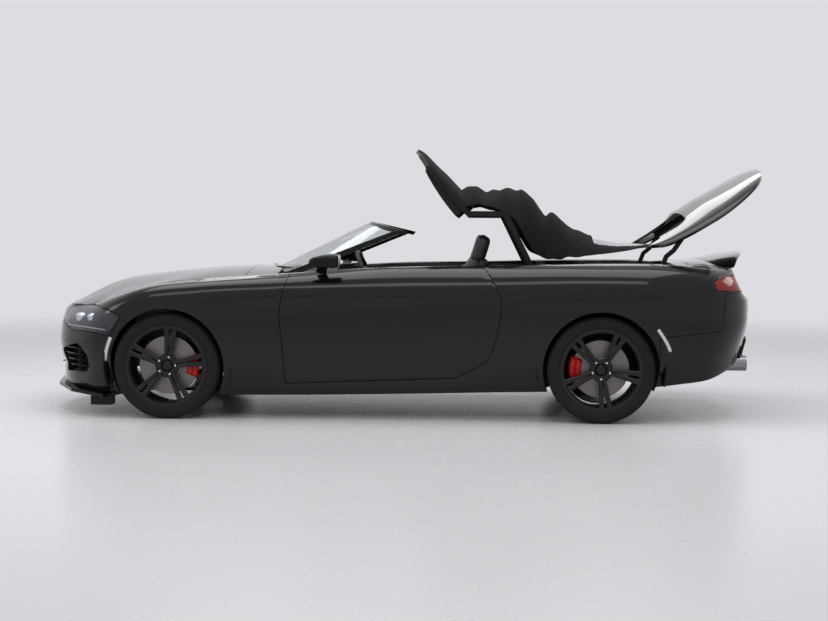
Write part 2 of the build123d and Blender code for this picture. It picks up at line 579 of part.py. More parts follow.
rear_rail = rail(ROOF_P, ROOF_J1, RAIL_Y["rear"], RAIL_W) - pin_hole(ROOF_P, 640, 700, 0.3)
rear_rail = rear_rail + pin_hole(ROOF_J1, RAIL_Y["mid"][0], RAIL_Y["rear"][0], 0)
nodes["roof_rear_rails"] = both(rear_rail)
mid_rail = rail(ROOF_J1, ROOF_J2, RAIL_Y["mid"], RAIL_W) - pin_hole(ROOF_J1, 600, 700, 0.3)
mid_rail = mid_rail + pin_hole(ROOF_J2, RAIL_Y["front"][0], RAIL_Y["mid"][0], 0)
mid_shaft = pin_hole(ROOF_J2, -RAIL_Y["front"][0], RAIL_Y["front"][0], 0)
nodes["roof_mid_rails"] = joined(both(mid_rail) + [mid_shaft])
front_a, front_b = on_front(0, 0), on_front(FRONT_RAIL, 0)
front_rail = rail((front_a[0], front_a[2]), (front_b[0], front_b[2]), RAIL_Y["front"], RAIL_W)
front_rail = front_rail - pin_hole(ROOF_J2, 560, 640, 0.3)
front_plane = Plane(origin=on_front(0, 0), x_dir=(math.cos(tilt), 0, math.sin(tilt)),
                    z_dir=(-math.sin(tilt), 0, math.cos(tilt)))


def arch_section(plane, half, crown, thick):
    """Crowned strip in a plane whose X runs across the car and Y up from the middle of its chord."""
    points = [(-half, 0), (0, crown), (half, 0)]
    low = [(x, y - thick) for x, y in points]
    first, last = ThreePointArc(*points), ThreePointArc(*reversed(low))
    face = make_face([first, Line(first @ 1, last @ 0), last, Line(last @ 1, first @ 0)])
    return plane * face


def across(origin, run):
    """Plane square to a run in the X-Z plane, with X to the car's left."""
    run = Vector(*run).normalized()
    up = Vector(-run.Z, 0, run.X)
    if up.Z < 0:
        up = up * -1
    return Plane(origin=origin, x_dir=(0, 1, 0), z_dir=Vector(0, 1, 0).cross(up))


front_run = (math.cos(tilt), 0, math.sin(tilt))
# Front section: along, up, half width, crown, thickness
FRONT_ARCHES = ((30, 34, 586, 52, 16.7), (FRONT_BOW, 26, 556, 28, 16))
roof_plate = loft([arch_section(across(on_front(along, up), front_run), half, crown, thick)
                   for along, up, half, crown, thick in FRONT_ARCHES])
BOW_FRONT = ((400, 590), (510, 380), (FRONT_BOW, 0))
BOW_BACK = ((330, 590), (330, 560), (450, 340), (515, 0))


def on_plan(plane, points, reach):
    """Tall solid on a tilted plane, with an outline along and across."""
    face = plane * make_face(Polyline(*points, close=True))
    return extrude(face, reach, dir=plane.z_dir, both=True)


plate_outline = mirrored_plan([(20, 700), (330, 700)] + list(BOW_FRONT))
band = list(BOW_BACK[:1]) + list(BOW_FRONT) + [(a, -b) for a, b in reversed(BOW_FRONT[:-1])]
band += [(a, -b) for a, b in BOW_BACK] + [(a, b) for a, b in reversed(BOW_BACK[1:-1])]
nodes["canvas_front"] = roof_plate & on_plan(front_plane, plate_outline, 300)
header_low = loft([arch_section(across(on_front(300, 14), front_run), 588, 44, 26),
                   arch_section(across(on_front(FRONT_BOW, 9), front_run), 588, 28, 26)])
roof_header = (header_low & on_plan(front_plane, band, 300)) - nodes["canvas_front"]
nodes["roof_front_frame"] = joined(both(front_rail) + [roof_header])

# Loose cloth and the rear window
CLOTH_T = 12
# x, edge z, crown z, half width
CLOTH_MID = ((-470, 1385, 1495, 575), (-560, 1402, 1528, 585), (-670, 1398, 1498, 590), (-840, 1385, 1512, 595))
CLOTH_REAR = ((-840.4, 1385, 1512, 595), (-985, 1240, 1450, 605), (-1045, 1140, 1372, 612), (-1090, 1070, 1325, 612),
              (-1240, 1070, 1252, 590), (-1400, 1078, 1196, 560), (-1600, 1108, 1166, 530), (-1800, 1150, 1160, 490))


def cloth(table, drop, thick, inset=0):
    """Cloth over the car as straight runs between arched sections."""
    faces = []
    for x, z_edge, z_crown, half in table:
        plane = Plane(origin=(x, 0, z_edge - drop), x_dir=(0, 1, 0), z_dir=(1, 0, 0))
        faces.append(arch_section(plane, half - inset, z_crown - z_edge, thick))
    return loft(faces, ruled=True)


cloth_mid = cloth(CLOTH_MID, 0, CLOTH_T)
nodes["canvas_mid"] = cloth_mid - nodes["canvas_front"]
WINDOW = {"x0": -1395, "x1": -1775, "half": 400}
window_hole = box(WINDOW["x1"], WINDOW["x0"], -WINDOW["half"], WINDOW["half"], 1000, 1400)
nodes["canvas_rear"] = cloth(CLOTH_REAR, 0, CLOTH_T) - window_hole
glass = cloth(CLOTH_REAR[4:], CLOTH_T + 0.4, 6)
nodes["rear_window"] = glass & box(WINDOW["x1"] - 18, WINDOW["x0"] + 18, -WINDOW["half"] - 20, WINDOW["half"] + 20, 1000, 1400)

# Roof pivots on the body
roof_foot = box(CABIN_REAR, -950, WELL_HALF, SILL_Y, 860, 955) + bar((*ROOF_P[:1], 655, ROOF_P[1]), (ROOF_P[0], 705, ROOF_P[1]), PIN_R)

# Storage lid, raised on its arms
LID_TIP = (-1731, 1166)
LID_TILT = 33
LID_LONG = 925
LID_H = (-1936, 1180)
lid_tilt = math.radians(LID_TILT)
lid_run = (-math.cos(lid_tilt), 0, math.sin(lid_tilt))


def on_lid(along, up):
    """Point of the storage lid from its front tips."""
    return (LID_TIP[0] - along * math.cos(lid_tilt) + up * math.sin(lid_tilt), 0,
            LID_TIP[1] + along * math.sin(lid_tilt) + up * math.cos(lid_tilt))


LID_OUTER = ((0, 600), (60, 690), (200, 728), (560, 728), (760, 650), (880, 440), (LID_LONG, 0))
LID_INNER = ((0, 575), (120, 560), (290, 520), (306, 440), (320, 0))
lid_plane = Plane(origin=on_lid(0, 0), x_dir=lid_run, z_dir=(math.sin(lid_tilt), 0, math.cos(lid_tilt)))
lid_form = loft([arch_section(across(on_lid(along, up), lid_run), 735, crown, 24)
                 for along, up, crown in ((-5, -60, 100), (450, -70, 123), (LID_LONG + 5, -50, 70))])
lid_outline = list(LID_OUTER) + [(a, -b) for a, b in reversed(LID_OUTER[:-1])]
lid_outline += [(a, -b) for a, b in LID_INNER] + [(a, b) for a, b in reversed(LID_INNER[:-1])]
nodes["storage_lid"] = lid_form & on_plan(lid_plane, lid_outline, 300)
h_along = (LID_TIP[0] - LID_H[0]) * math.cos(lid_tilt) + (LID_H[1] - LID_TIP[1]) * math.sin(lid_tilt)
h_up = (LID_H[0] - LID_TIP[0]) * math.sin(lid_tilt) + (LID_H[1] - LID_TIP[1]) * math.cos(lid_tilt)


def lid_bar(a, b, planes, wide):
    """Bar in the lid's frame between two (along, up) points."""
    first, second = on_lid(*a), on_lid(*b)
    return rail((first[0], first[2]), (second[0], second[2]), planes, wide)


BRACKET_Y = (598, 622)
bracket = lid_bar((h_along, h_up), (h_along + 30, -66), BRACKET_Y, 40) + lid_bar((h_along + 30, -76), (470, -72), BRACKET_Y, 28)
bracket = bracket - bar((LID_H[0], 580, LID_H[1]), (LID_H[0], 640, LID_H[1]), PIN_R + 0.3)
nodes["storage_lid_frame"] = both(bracket - nodes["storage_lid"])
ARM_Y = (632, 652)
arm_points = ((-1800, 960), (-1842, 1072), (-1890, 1112), LID_H)
arm = joined([rail(arm_points[i], arm_points[i + 1], ARM_Y, 30) for i in range(3)])
arm = arm + bar((LID_H[0], 600, LID_H[1]), (LID_H[0], 640, LID_H[1]), PIN_R)
arm = arm + box(-1885, -1720, ARM_Y[0], WELL_HALF, 880, 985)
nodes["roof_mounts"] = both(roof_foot) + both(arm)

# Jack pads under the sills
for x, z in ((590, 144), (-815, 177)):
    pad = box(x - 35, x + 35, 768, 804, z, z + 30)
    nodes["side_panels"] = [half + pad_side for half, pad_side in zip(nodes["side_panels"], both(pad))]

# Middle of the overall box along the car
lid_back_x = nodes["storage_lid"].bounding_box().min.X
MIDDLE = (FRONT_REACH + lid_back_x) / 2
print("middle of the box along the car", round(MIDDLE, 3))
for name, solids in nodes.items():
    if not isinstance(solids, list):
        solids = [solids]
    pieces = []
    for solid in solids:
        pieces += list(solid.solids())
    shape = Compound(children=[Pos(-MIDDLE, 0, 0) * piece for piece in pieces]) if len(pieces) > 1 else Pos(-MIDDLE, 0, 0) * pieces[0]
    export_step(shape, f"parts/{name}.step")
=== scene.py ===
# %% [markdown]
# # A two-door convertible with its soft top half folded
# The car is black on black, so its form is read from reflections alone. That asks for smooth
# panels with crisp feature lines, a bright even room around them, and finishes that differ in
# gloss: paint, glossy trim, rubber, cloth and leather. The CAD model gives the frame, the bodies
# that move and the hidden structure. The panels, wheels, lamps, cloth and seats are made here.

# %% Tools and the shared frame
import json
import math

import bmesh
import bpy
import numpy as np
from mathutils import Matrix, Vector


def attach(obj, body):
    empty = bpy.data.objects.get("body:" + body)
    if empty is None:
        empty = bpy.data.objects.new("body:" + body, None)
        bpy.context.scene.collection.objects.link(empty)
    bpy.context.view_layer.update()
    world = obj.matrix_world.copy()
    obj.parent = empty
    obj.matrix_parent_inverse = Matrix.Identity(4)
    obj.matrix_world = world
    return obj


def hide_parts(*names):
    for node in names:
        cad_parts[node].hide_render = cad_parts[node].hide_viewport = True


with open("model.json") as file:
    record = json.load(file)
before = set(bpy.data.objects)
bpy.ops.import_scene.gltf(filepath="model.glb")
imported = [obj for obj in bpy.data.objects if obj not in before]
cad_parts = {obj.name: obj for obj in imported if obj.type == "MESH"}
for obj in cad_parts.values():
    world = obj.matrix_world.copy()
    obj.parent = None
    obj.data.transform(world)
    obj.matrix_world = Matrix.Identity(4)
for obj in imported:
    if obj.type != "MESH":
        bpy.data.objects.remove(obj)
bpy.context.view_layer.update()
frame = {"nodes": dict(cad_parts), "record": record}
nodes = frame["nodes"]
SHIFT = 0.086813
AXLE_X = {"front": 1.406, "rear": -1.406}
HUB_Z = 0.345
SIDES = {"left": 1, "right": -1}
print("CAD nodes", len(nodes))

# %% [markdown]
# ## Camera
# The photograph was taken from about ten metres away, a little above the belt line and nearly
# square to the car's left side. The camera was fitted to the wheelbase and the rims. Its matrix
# is built from three angles: turn about the vertical, look down, and a very small roll.

# %% Camera at the photograph's place
TURN, LOOK_DOWN, ROLL = 0.04485, 0.05684, 0.00579
LENS_MM = 60.95
SENSOR_MM = 36
CAMERA_PLACE = (-0.519297, 9.89064, 1.23029)
ahead = Vector((math.sin(TURN) * math.cos(LOOK_DOWN), -math.cos(TURN) * math.cos(LOOK_DOWN),
                -math.sin(LOOK_DOWN)))
right = ahead.cross(Vector((0, 0, 1))).normalized()
up = right.cross(ahead)
right, up = (right * math.cos(ROLL) + up * math.sin(ROLL), up * math.cos(ROLL) - right * math.sin(ROLL))
camera_data = bpy.data.cameras.new("camera")
camera_data.lens = LENS_MM
camera_data.sensor_width = SENSOR_MM
camera_data.sensor_fit = "HORIZONTAL"
camera_data.clip_end = 200
camera = bpy.data.objects.new("camera", camera_data)
bpy.context.scene.collection.objects.link(camera)
turned = Matrix((right, up, -ahead)).transposed().to_4x4()
camera.matrix_world = Matrix.Translation(CAMERA_PLACE) @ turned
bpy.context.scene.camera = camera

# %% [markdown]
# ## Finishes
# Effects that several finishes share are node groups: road dust that settles low on the body, a
# moulded grain, leather cells and a twill weave. Each gives out a colour, a roughness or a
# normal, and the material itself holds the Principled shader.

# %% Helpers for node groups and materials
def new_group(name, inputs, outputs):
    """Empty shader group with named float, colour or vector sockets."""
    group = bpy.data.node_groups.new(name, "ShaderNodeTree")
    kinds = {"f": "NodeSocketFloat", "c": "NodeSocketColor", "v": "NodeSocketVector"}
    for label, kind, value in inputs:
        socket = group.interface.new_socket(label, in_out="INPUT", socket_type=kinds[kind])
        if value is not None:
            socket.default_value = value
    for label, kind in outputs:
        group.interface.new_socket(label, in_out="OUTPUT", socket_type=kinds[kind])
    return group, group.nodes.new("NodeGroupInput"), group.nodes.new("NodeGroupOutput")


def node(tree, kind, **settings):
    """New node with its settings; a key of the form in_N sets input N's value."""
    made = tree.nodes.new(kind)
    for key, value in settings.items():
        if key.startswith("in_"):
            label = key[3:]
            made.inputs[int(label) if label.isdigit() else label.replace("_", " ")].default_value = value
        else:
            setattr(made, key, value)
    return made


def math_node(tree, operation, first, second):
    """Arithmetic on two values, each a socket or a number."""
    made = tree.nodes.new("ShaderNodeMath")
    made.operation = operation
    for slot, value in zip(made.inputs, (first, second)):
        if isinstance(value, (int, float)):
            slot.default_value = value
        else:
            tree.links.new(value, slot)
    return made.outputs[0]


# %% [markdown]
# Dust is a noise that fades out with height: strongest at the sills and gone at the belt. It
# lightens the colour a little and takes the gloss off.

# %% Road dust
dust_group, g_in, g_out = new_group(
    "road_dust", [("Colour", "c", (0.01, 0.01, 0.01, 1)), ("Roughness", "f", 0.2), ("Top", "f", 0.6),
                  ("Amount", "f", 0.2)],
    [("Colour", "c"), ("Roughness", "f")])
place = node(dust_group, "ShaderNodeTexCoord")
split = node(dust_group, "ShaderNodeSeparateXYZ")
noise = node(dust_group, "ShaderNodeTexNoise", in_Scale=9.0, in_Detail=6.0)
blend_dust = node(dust_group, "ShaderNodeMix", data_type="RGBA")
dust_group.links.new(place.outputs["Object"], split.inputs[0])
dust_group.links.new(place.outputs["Object"], noise.inputs["Vector"])
fade = math_node(dust_group, "SUBTRACT", 1.0,
                 math_node(dust_group, "DIVIDE", split.outputs["Z"], g_in.outputs["Top"]))
fade = math_node(dust_group, "MAXIMUM", fade, 0.0)
mask = math_node(dust_group, "MULTIPLY", math_node(dust_group, "MULTIPLY", fade, noise.outputs["Fac"]),
                 g_in.outputs["Amount"])
dust_group.links.new(mask, blend_dust.inputs["Factor"])
dust_group.links.new(g_in.outputs["Colour"], blend_dust.inputs[6])
blend_dust.inputs[7].default_value = (0.11, 0.10, 0.09, 1)
dust_group.links.new(blend_dust.outputs[2], g_out.inputs["Colour"])
dust_group.links.new(math_node(dust_group, "ADD", g_in.outputs["Roughness"],
                               math_node(dust_group, "MULTIPLY", mask, 1.2)),
                     g_out.inputs["Roughness"])

# %% [markdown]
# Grain, leather and weave are heights turned into a normal by a Bump node. The weave is two sets
# of fine bands that cross at a slant, as a twill roof cloth has.

# %% Moulded grain, leather cells and twill weave
grain_group, g_in, g_out = new_group("moulded_grain", [("Scale", "f", 900.0), ("Strength", "f", 0.15)],
                                     [("Normal", "v")])
place = node(grain_group, "ShaderNodeTexCoord")
noise = node(grain_group, "ShaderNodeTexNoise", in_Detail=2.0)
bump = node(grain_group, "ShaderNodeBump", in_Distance=0.0005)
grain_group.links.new(place.outputs["Object"], noise.inputs["Vector"])
grain_group.links.new(g_in.outputs["Scale"], noise.inputs["Scale"])
grain_group.links.new(g_in.outputs["Strength"], bump.inputs["Strength"])
grain_group.links.new(noise.outputs["Fac"], bump.inputs["Height"])
grain_group.links.new(bump.outputs[0], g_out.inputs["Normal"])

leather_group, g_in, g_out = new_group(
    "leather_cells", [("Colour", "c", (0.02, 0.02, 0.02, 1)), ("Cells", "f", 420.0), ("Strength", "f", 0.3)],
    [("Colour", "c"), ("Roughness", "f"), ("Normal", "v")])
place = node(leather_group, "ShaderNodeTexCoord")
cells = node(leather_group, "ShaderNodeTexVoronoi", feature="DISTANCE_TO_EDGE")
wear = node(leather_group, "ShaderNodeTexNoise", in_Scale=6.0, in_Detail=4.0)
bump = node(leather_group, "ShaderNodeBump", in_Distance=0.0006)
shade = node(leather_group, "ShaderNodeMix", data_type="RGBA", blend_type="MULTIPLY", in_Factor=0.35)
leather_group.links.new(place.outputs["Object"], cells.inputs["Vector"])
leather_group.links.new(place.outputs["Object"], wear.inputs["Vector"])
leather_group.links.new(g_in.outputs["Cells"], cells.inputs["Scale"])
leather_group.links.new(g_in.outputs["Strength"], bump.inputs["Strength"])
leather_group.links.new(cells.outputs["Distance"], bump.inputs["Height"])
leather_group.links.new(g_in.outputs["Colour"], shade.inputs[6])
leather_group.links.new(wear.outputs["Color"], shade.inputs[7])
leather_group.links.new(shade.outputs[2], g_out.inputs["Colour"])
leather_group.links.new(math_node(leather_group, "ADD",
                                  math_node(leather_group, "MULTIPLY", wear.outputs["Fac"], 0.25), 0.35),
                        g_out.inputs["Roughness"])
leather_group.links.new(bump.outputs[0], g_out.inputs["Normal"])

weave_group, g_in, g_out = new_group(
    "twill_weave", [("Colour", "c", (0.02, 0.02, 0.02, 1)), ("Threads", "f", 260.0), ("Strength", "f", 0.5)],
    [("Colour", "c"), ("Normal", "v")])
place = node(weave_group, "ShaderNodeTexCoord")
warp = node(weave_group, "ShaderNodeTexWave", bands_direction="DIAGONAL", in_Distortion=0.4)
weft = node(weave_group, "ShaderNodeTexWave", bands_direction="Y", in_Distortion=0.4)
lint = node(weave_group, "ShaderNodeTexNoise", in_Scale=14.0, in_Detail=5.0)
bump = node(weave_group, "ShaderNodeBump", in_Distance=0.0008)
shade = node(weave_group, "ShaderNodeMix", data_type="RGBA", in_Factor=0.3)
for part in (warp, weft):
    weave_group.links.new(place.outputs["Object"], part.inputs["Vector"])
    weave_group.links.new(g_in.outputs["Threads"], part.inputs["Scale"])
weave_group.links.new(place.outputs["Object"], lint.inputs["Vector"])
height = math_node(weave_group, "MULTIPLY", warp.outputs["Fac"], weft.outputs["Fac"])
weave_group.links.new(height, bump.inputs["Height"])
weave_group.links.new(g_in.outputs["Strength"], bump.inputs["Strength"])
weave_group.links.new(math_node(weave_group, "MULTIPLY", lint.outputs["Fac"], 0.35), shade.inputs["Factor"])
weave_group.links.new(g_in.outputs["Colour"], shade.inputs[6])
shade.inputs[7].default_value = (0.013, 0.013, 0.015, 1)
weave_group.links.new(shade.outputs[2], g_out.inputs["Colour"])
weave_group.links.new(bump.outputs[0], g_out.inputs["Normal"])


# %% [markdown]
# ## Materials
# One function sets the plain numbers on the Principled shader's own sockets, and the groups are
# linked after it. Black paint is nearly black under a clear coat, so its look is all reflection.

# %% Making a material
def finish_of(name, **values):
    """Principled material; keys are socket names with _ for spaces."""
    material = bpy.data.materials.new(name)
    material.use_nodes = True
    shader = material.node_tree.nodes["Principled BSDF"]
    for key, value in values.items():
        shader.inputs[key.replace("_", " ")].default_value = value
    return material, material.node_tree, shader


def with_group(tree, shader, group, links, **values):
    """Places a group with its values and links its outputs to the shader."""
    placed = tree.nodes.new("ShaderNodeGroup")
    placed.node_tree = group
    for key, value in values.items():
        placed.inputs[key].default_value = value
    for output, socket in links.items():
        tree.links.new(placed.outputs[output], shader.inputs[socket])
    return placed


DUSTY = {"Colour": "Base Color", "Roughness": "Roughness"}
finishes = {}
# name, colour, roughness, metallic, coat, dust top, dust amount
PAINTS = (
    ("body_paint", (0.0032, 0.0038, 0.0058), 0.25, 0.0, 1.0, 0.5, 0.05),
    ("black_trim", (0.004, 0.004, 0.0045), 0.16, 0.0, 0.4, 0.5, 0.12),
    ("rim_black", (0.006, 0.006, 0.007), 0.2, 0.0, 0.8, 0.7, 0.10),
    ("caliper_red", (0.52, 0.012, 0.012), 0.3, 0.0, 0.8, 0.6, 0.15),
    ("under_metal", (0.018, 0.018, 0.019), 0.5, 0.2, 0.0, 0.6, 0.25),
    ("cast", (0.32, 0.33, 0.34), 0.55, 0.8, 0.0, 0.6, 0.3),
    ("steel", (0.25, 0.25, 0.26), 0.22, 1.0, 0.0, 0.6, 0.2),
    ("disc_steel", (0.20, 0.18, 0.18), 0.42, 0.9, 0.0, 0.5, 0.1),
)
for name, colour, rough, metal, coat, top, amount in PAINTS:
    material, tree, shader = finish_of(name, Metallic=metal, Coat_Weight=coat, Coat_Roughness=0.03,
                                       Coat_IOR=1.32, Specular_IOR_Level=0.1)
    with_group(tree, shader, dust_group, DUSTY, Colour=(*colour, 1), Roughness=rough, Top=top, Amount=amount)
    if name in ("under_metal", "cast"):
        with_group(tree, shader, grain_group, {"Normal": "Normal"}, Scale=220.0, Strength=0.4)
    finishes[name] = material

# name, colour, roughness, grain scale, grain strength, dust amount
PLASTICS = (
    ("matte_black", (0.009, 0.009, 0.0095), 0.62, 900.0, 0.35, 0.12),
    ("tyre_rubber", (0.009, 0.009, 0.0095), 0.66, 420.0, 0.4, 0.2),
    ("seal_rubber", (0.008, 0.008, 0.008), 0.6, 600.0, 0.2, 0.1),
)
for name, colour, rough, scale, strength, amount in PLASTICS:
    material, tree, shader = finish_of(name, Specular_IOR_Level=0.25)
    with_group(tree, shader, dust_group, DUSTY, Colour=(*colour, 1), Roughness=rough, Top=0.55, Amount=amount)
    with_group(tree, shader, grain_group, {"Normal": "Normal"}, Scale=scale, Strength=strength)
    finishes[name] = material

material, tree, shader = finish_of("cloth", Roughness=0.88, Sheen_Weight=0.02, Sheen_Roughness=0.4,
                                   Specular_IOR_Level=0.10)
with_group(tree, shader, weave_group, {"Colour": "Base Color", "Normal": "Normal"},
           Colour=(0.0042, 0.0042, 0.0048, 1))
finishes["cloth"] = material
material, tree, shader = finish_of("seat_leather", Specular_IOR_Level=0.45)
with_group(tree, shader, leather_group,
           {"Colour": "Base Color", "Roughness": "Roughness", "Normal": "Normal"},
           Colour=(0.020, 0.020, 0.022, 1))
finishes["seat_leather"] = material
# name, colour, roughness, transmission, index
GLASSES = (
    ("glass", (0.83, 0.87, 0.87), 0.01, 1.0, 1.15),
    ("lamp_clear", (0.80, 0.84, 0.88), 0.0, 1.0, 1.42),
    ("lamp_red", (0.35, 0.008, 0.01), 0.06, 0.35, 1.45),
)
for name, colour, rough, through_it, index in GLASSES:
    material, tree, shader = finish_of(name, Base_Color=(*colour, 1), Transmission_Weight=through_it,
                                       IOR=index)
    smear = node(tree, "ShaderNodeTexNoise", in_Scale=5.0, in_Detail=5.0)
    place = node(tree, "ShaderNodeTexCoord")
    tree.links.new(place.outputs["Object"], smear.inputs["Vector"])
    tree.links.new(math_node(tree, "ADD", math_node(tree, "MULTIPLY", smear.outputs["Fac"], 0.05), rough),
                   shader.inputs["Roughness"])
    finishes[name] = material
chrome, tree, shader = finish_of("bright_steel", Base_Color=(0.72, 0.73, 0.75, 1), Metallic=1.0)
with_group(tree, shader, dust_group, {"Roughness": "Roughness"}, Roughness=0.14, Top=0.6, Amount=0.1)
finishes["bright_steel"] = chrome
marker, tree, shader = finish_of("marker_white", Coat_Weight=1.0)
with_group(tree, shader, dust_group, DUSTY, Colour=(0.62, 0.63, 0.65, 1), Roughness=0.15, Top=0.6, Amount=0.1)
finishes["marker_white"] = marker
for entry in frame["record"]["subparts"]:
    mesh = nodes[entry["node"]].data
    mesh.materials.clear()
    mesh.materials.append(finishes[entry["material_slot"]])
print("finishes", len(finishes))

# %% [markdown]
# ## Meshes from grids
# Every new surface is a grid of points worked out with numpy. The grid's cells become
# quadrilaterals, and a closed direction joins its last row to the first.

# %% From a grid to an object
def quads(rows, columns, wrap_rows=False, wrap_columns=False):
    """Corner numbers of each cell of a grid numbered row by row."""
    i = np.arange(rows if wrap_rows else rows - 1)[:, None]
    j = np.arange(columns if wrap_columns else columns - 1)[None, :]
    i2, j2 = (i + 1) % rows, (j + 1) % columns
    return np.stack([i * columns + j, i2 * columns + j, i2 * columns + j2, i * columns + j2],
                    -1).reshape(-1, 4)


def object_of(name, points, faces, finish, shift=True):
    """Object from points and faces, moved from the wheelbase's middle to the row frame."""
    points = np.asarray(points, float).reshape(-1, 3)
    if shift:
        points = points + (SHIFT, 0, 0)
    mesh = bpy.data.meshes.new(name)
    mesh.from_pydata(points.tolist(), [], [list(map(int, face)) for face in faces])
    mesh.update()
    made = bpy.data.objects.new(name, mesh)
    bpy.context.scene.collection.objects.link(made)
    mesh.materials.append(finishes[finish])
    mesh.shade_smooth()
    return made


def tidy_mesh(made, merge=1e-5, recalculate=True):
    """Merges doubled points and turns the faces outward."""
    bm = bmesh.new()
    bm.from_mesh(made.data)
    bmesh.ops.remove_doubles(bm, verts=bm.verts, dist=merge)
    bmesh.ops.dissolve_degenerate(bm, edges=bm.edges, dist=1e-6)
    if recalculate:
        bmesh.ops.recalc_face_normals(bm, faces=bm.faces)
    bm.to_mesh(made.data)
    bm.free()


def settle(made, angle=32):
    """Applies the modifiers and marks edges sharper than the angle, so that flat rims shade flat."""
    graph = bpy.context.evaluated_depsgraph_get()
    mesh = bpy.data.meshes.new_from_object(made.evaluated_get(graph))
    made.modifiers.clear()
    made.data = mesh
    mesh.shade_smooth()
    mesh.set_sharp_from_angle(angle=math.radians(angle))
    return made


def give_wall(made, thickness, bevel=0.0, offset=-1, angle=32):
    """Gives a surface its wall, with small rounded rims."""
    wall = made.modifiers.new("wall", "SOLIDIFY")
    wall.thickness = thickness
    wall.offset = offset
    if bevel:
        round_off = made.modifiers.new("rim", "BEVEL")
        round_off.width = bevel
        round_off.segments = 2
        round_off.limit_method = "ANGLE"
        round_off.angle_limit = math.radians(60)
    return settle(made, angle)


def mirrored(points):
    """The same points on the car's other side."""
    return np.asarray(points) * (1, -1, 1)


def both_sides(name, points, faces, finish, merge=True):
    """One object from a left half and its mirror image, joined where they meet."""
    points = np.asarray(points, float).reshape(-1, 3)
    faces = [tuple(face) for face in faces]
    count = len(points)
    twin = [tuple(count + index for index in reversed(face)) for face in faces]
    made = object_of(name, np.vstack([points, mirrored(points)]), faces + twin, finish)
    if merge:
        tidy_mesh(made, recalculate=False)
    return made


# %% [markdown]
# ## Body surface
# The body is drawn the way a stylist would tape it: feature lines run from the nose round the
# side to the tail, and the surface is stretched between them. Creases are the lines where two
# strips meet at an angle: the skirt, the shoulder and the edge. Sixteen stations hold each line.

# %% Feature lines of the left half, nose to tail
FEATURE_LINES = np.array((
    # bottom edge
    ((2.285, 0, .205), (2.25, .30, .203), (2.15, .55, .197), (2.02, .70, .188), (1.86, .80, .17),
     (1.60, .815, .158), (1.25, .818, .152), (.70, .818, .154), (0, .815, .166), (-.70, .815, .184),
     (-1.40, .822, .205), (-1.90, .80, .245), (-2.13, .77, .285), (-2.28, .66, .36), (-2.38, .40, .47),
     (-2.40, 0, .505)),
    # skirt crease
    ((2.278, 0, .33), (2.245, .31, .33), (2.145, .57, .33), (2.01, .735, .335), (1.86, .845, .345),
     (1.60, .90, .35), (1.25, .90, .345), (.70, .893, .36), (0, .89, .412), (-.70, .896, .416),
     (-1.40, .925, .40), (-1.90, .90, .42), (-2.15, .835, .45), (-2.30, .70, .50), (-2.405, .41, .55),
     (-2.43, 0, .56)),
    # waist
    ((2.300, 0, .52), (2.272, .31, .52), (2.18, .58, .52), (2.035, .755, .525), (1.86, .885, .54),
     (1.60, .938, .58), (1.25, .94, .60), (.70, .912, .60), (0, .906, .62), (-.70, .918, .63),
     (-1.40, .947, .66), (-1.90, .925, .66), (-2.17, .85, .66), (-2.33, .705, .66), (-2.42, .42, .66),
     (-2.443, 0, .66)),
    # shoulder crease
    ((2.282, 0, .635), (2.255, .30, .632), (2.165, .55, .63), (2.01, .735, .64), (1.82, .885, .665),
     (1.60, .925, .715), (1.25, .93, .745), (.70, .912, .735), (0, .908, .745), (-.70, .921, .775),
     (-1.40, .946, .80), (-1.90, .918, .80), (-2.17, .84, .79), (-2.33, .70, .79), (-2.42, .42, .79),
     (-2.44, 0, .785)),
    # upper shoulder
    ((2.262, 0, .70), (2.232, .28, .697), (2.13, .50, .695), (1.96, .69, .715), (1.78, .835, .765),
     (1.58, .892, .825), (1.25, .90, .862), (.70, .89, .90), (0, .886, .925), (-.70, .898, .935),
     (-1.40, .918, .955), (-1.90, .885, .95), (-2.15, .81, .93), (-2.29, .69, .90), (-2.345, .41, .86),
     (-2.36, 0, .855)),
    # edge of hood, belt and deck
    ((2.235, 0, .712), (2.215, .25, .712), (2.12, .47, .72), (1.93, .68, .735), (1.75, .79, .795),
     (1.55, .825, .855), (1.22, .815, .896), (.70, .82, .935), (0, .822, .982), (-.70, .825, .998),
     (-1.40, .835, 1.015), (-1.90, .81, 1.008), (-2.13, .75, .98), (-2.26, .63, .98), (-2.30, .40, 1.00),
     (-2.31, 0, 1.01)),
))
# Hood: line half way to the middle, and the middle line, at the first eight stations
HOOD_LINES = np.array((
    ((2.11, 0, .785), (2.08, .22, .783), (1.97, .36, .80), (1.80, .47, .84), (1.65, .53, .872),
     (1.48, .55, .90), (1.18, .56, .945), (.70, .56, .97)),
    ((2.00, 0, .838), (1.95, 0, .862), (1.85, 0, .892), (1.72, 0, .915), (1.60, 0, .93), (1.45, 0, .948),
     (1.15, 0, .976), (.70, 0, .99)),
))
# Boot: the same two lines at the last five stations
BOOT_LINES = np.array((
    ((-1.90, .55, 1.02), (-2.05, .50, 1.03), (-2.17, .38, 1.035), (-2.25, .22, 1.04), (-2.285, 0, 1.03)),
    ((-1.90, 0, 1.03), (-2.0, 0, 1.035), (-2.1, 0, 1.045), (-2.2, 0, 1.045), (-2.26, 0, 1.04)),
))
STEPS = 10


# %% [markdown]
# Along the car each line is a smooth curve through its stations. Where a line reaches the
# middle of the car it meets its own mirror image, so its slope there is taken across the middle.

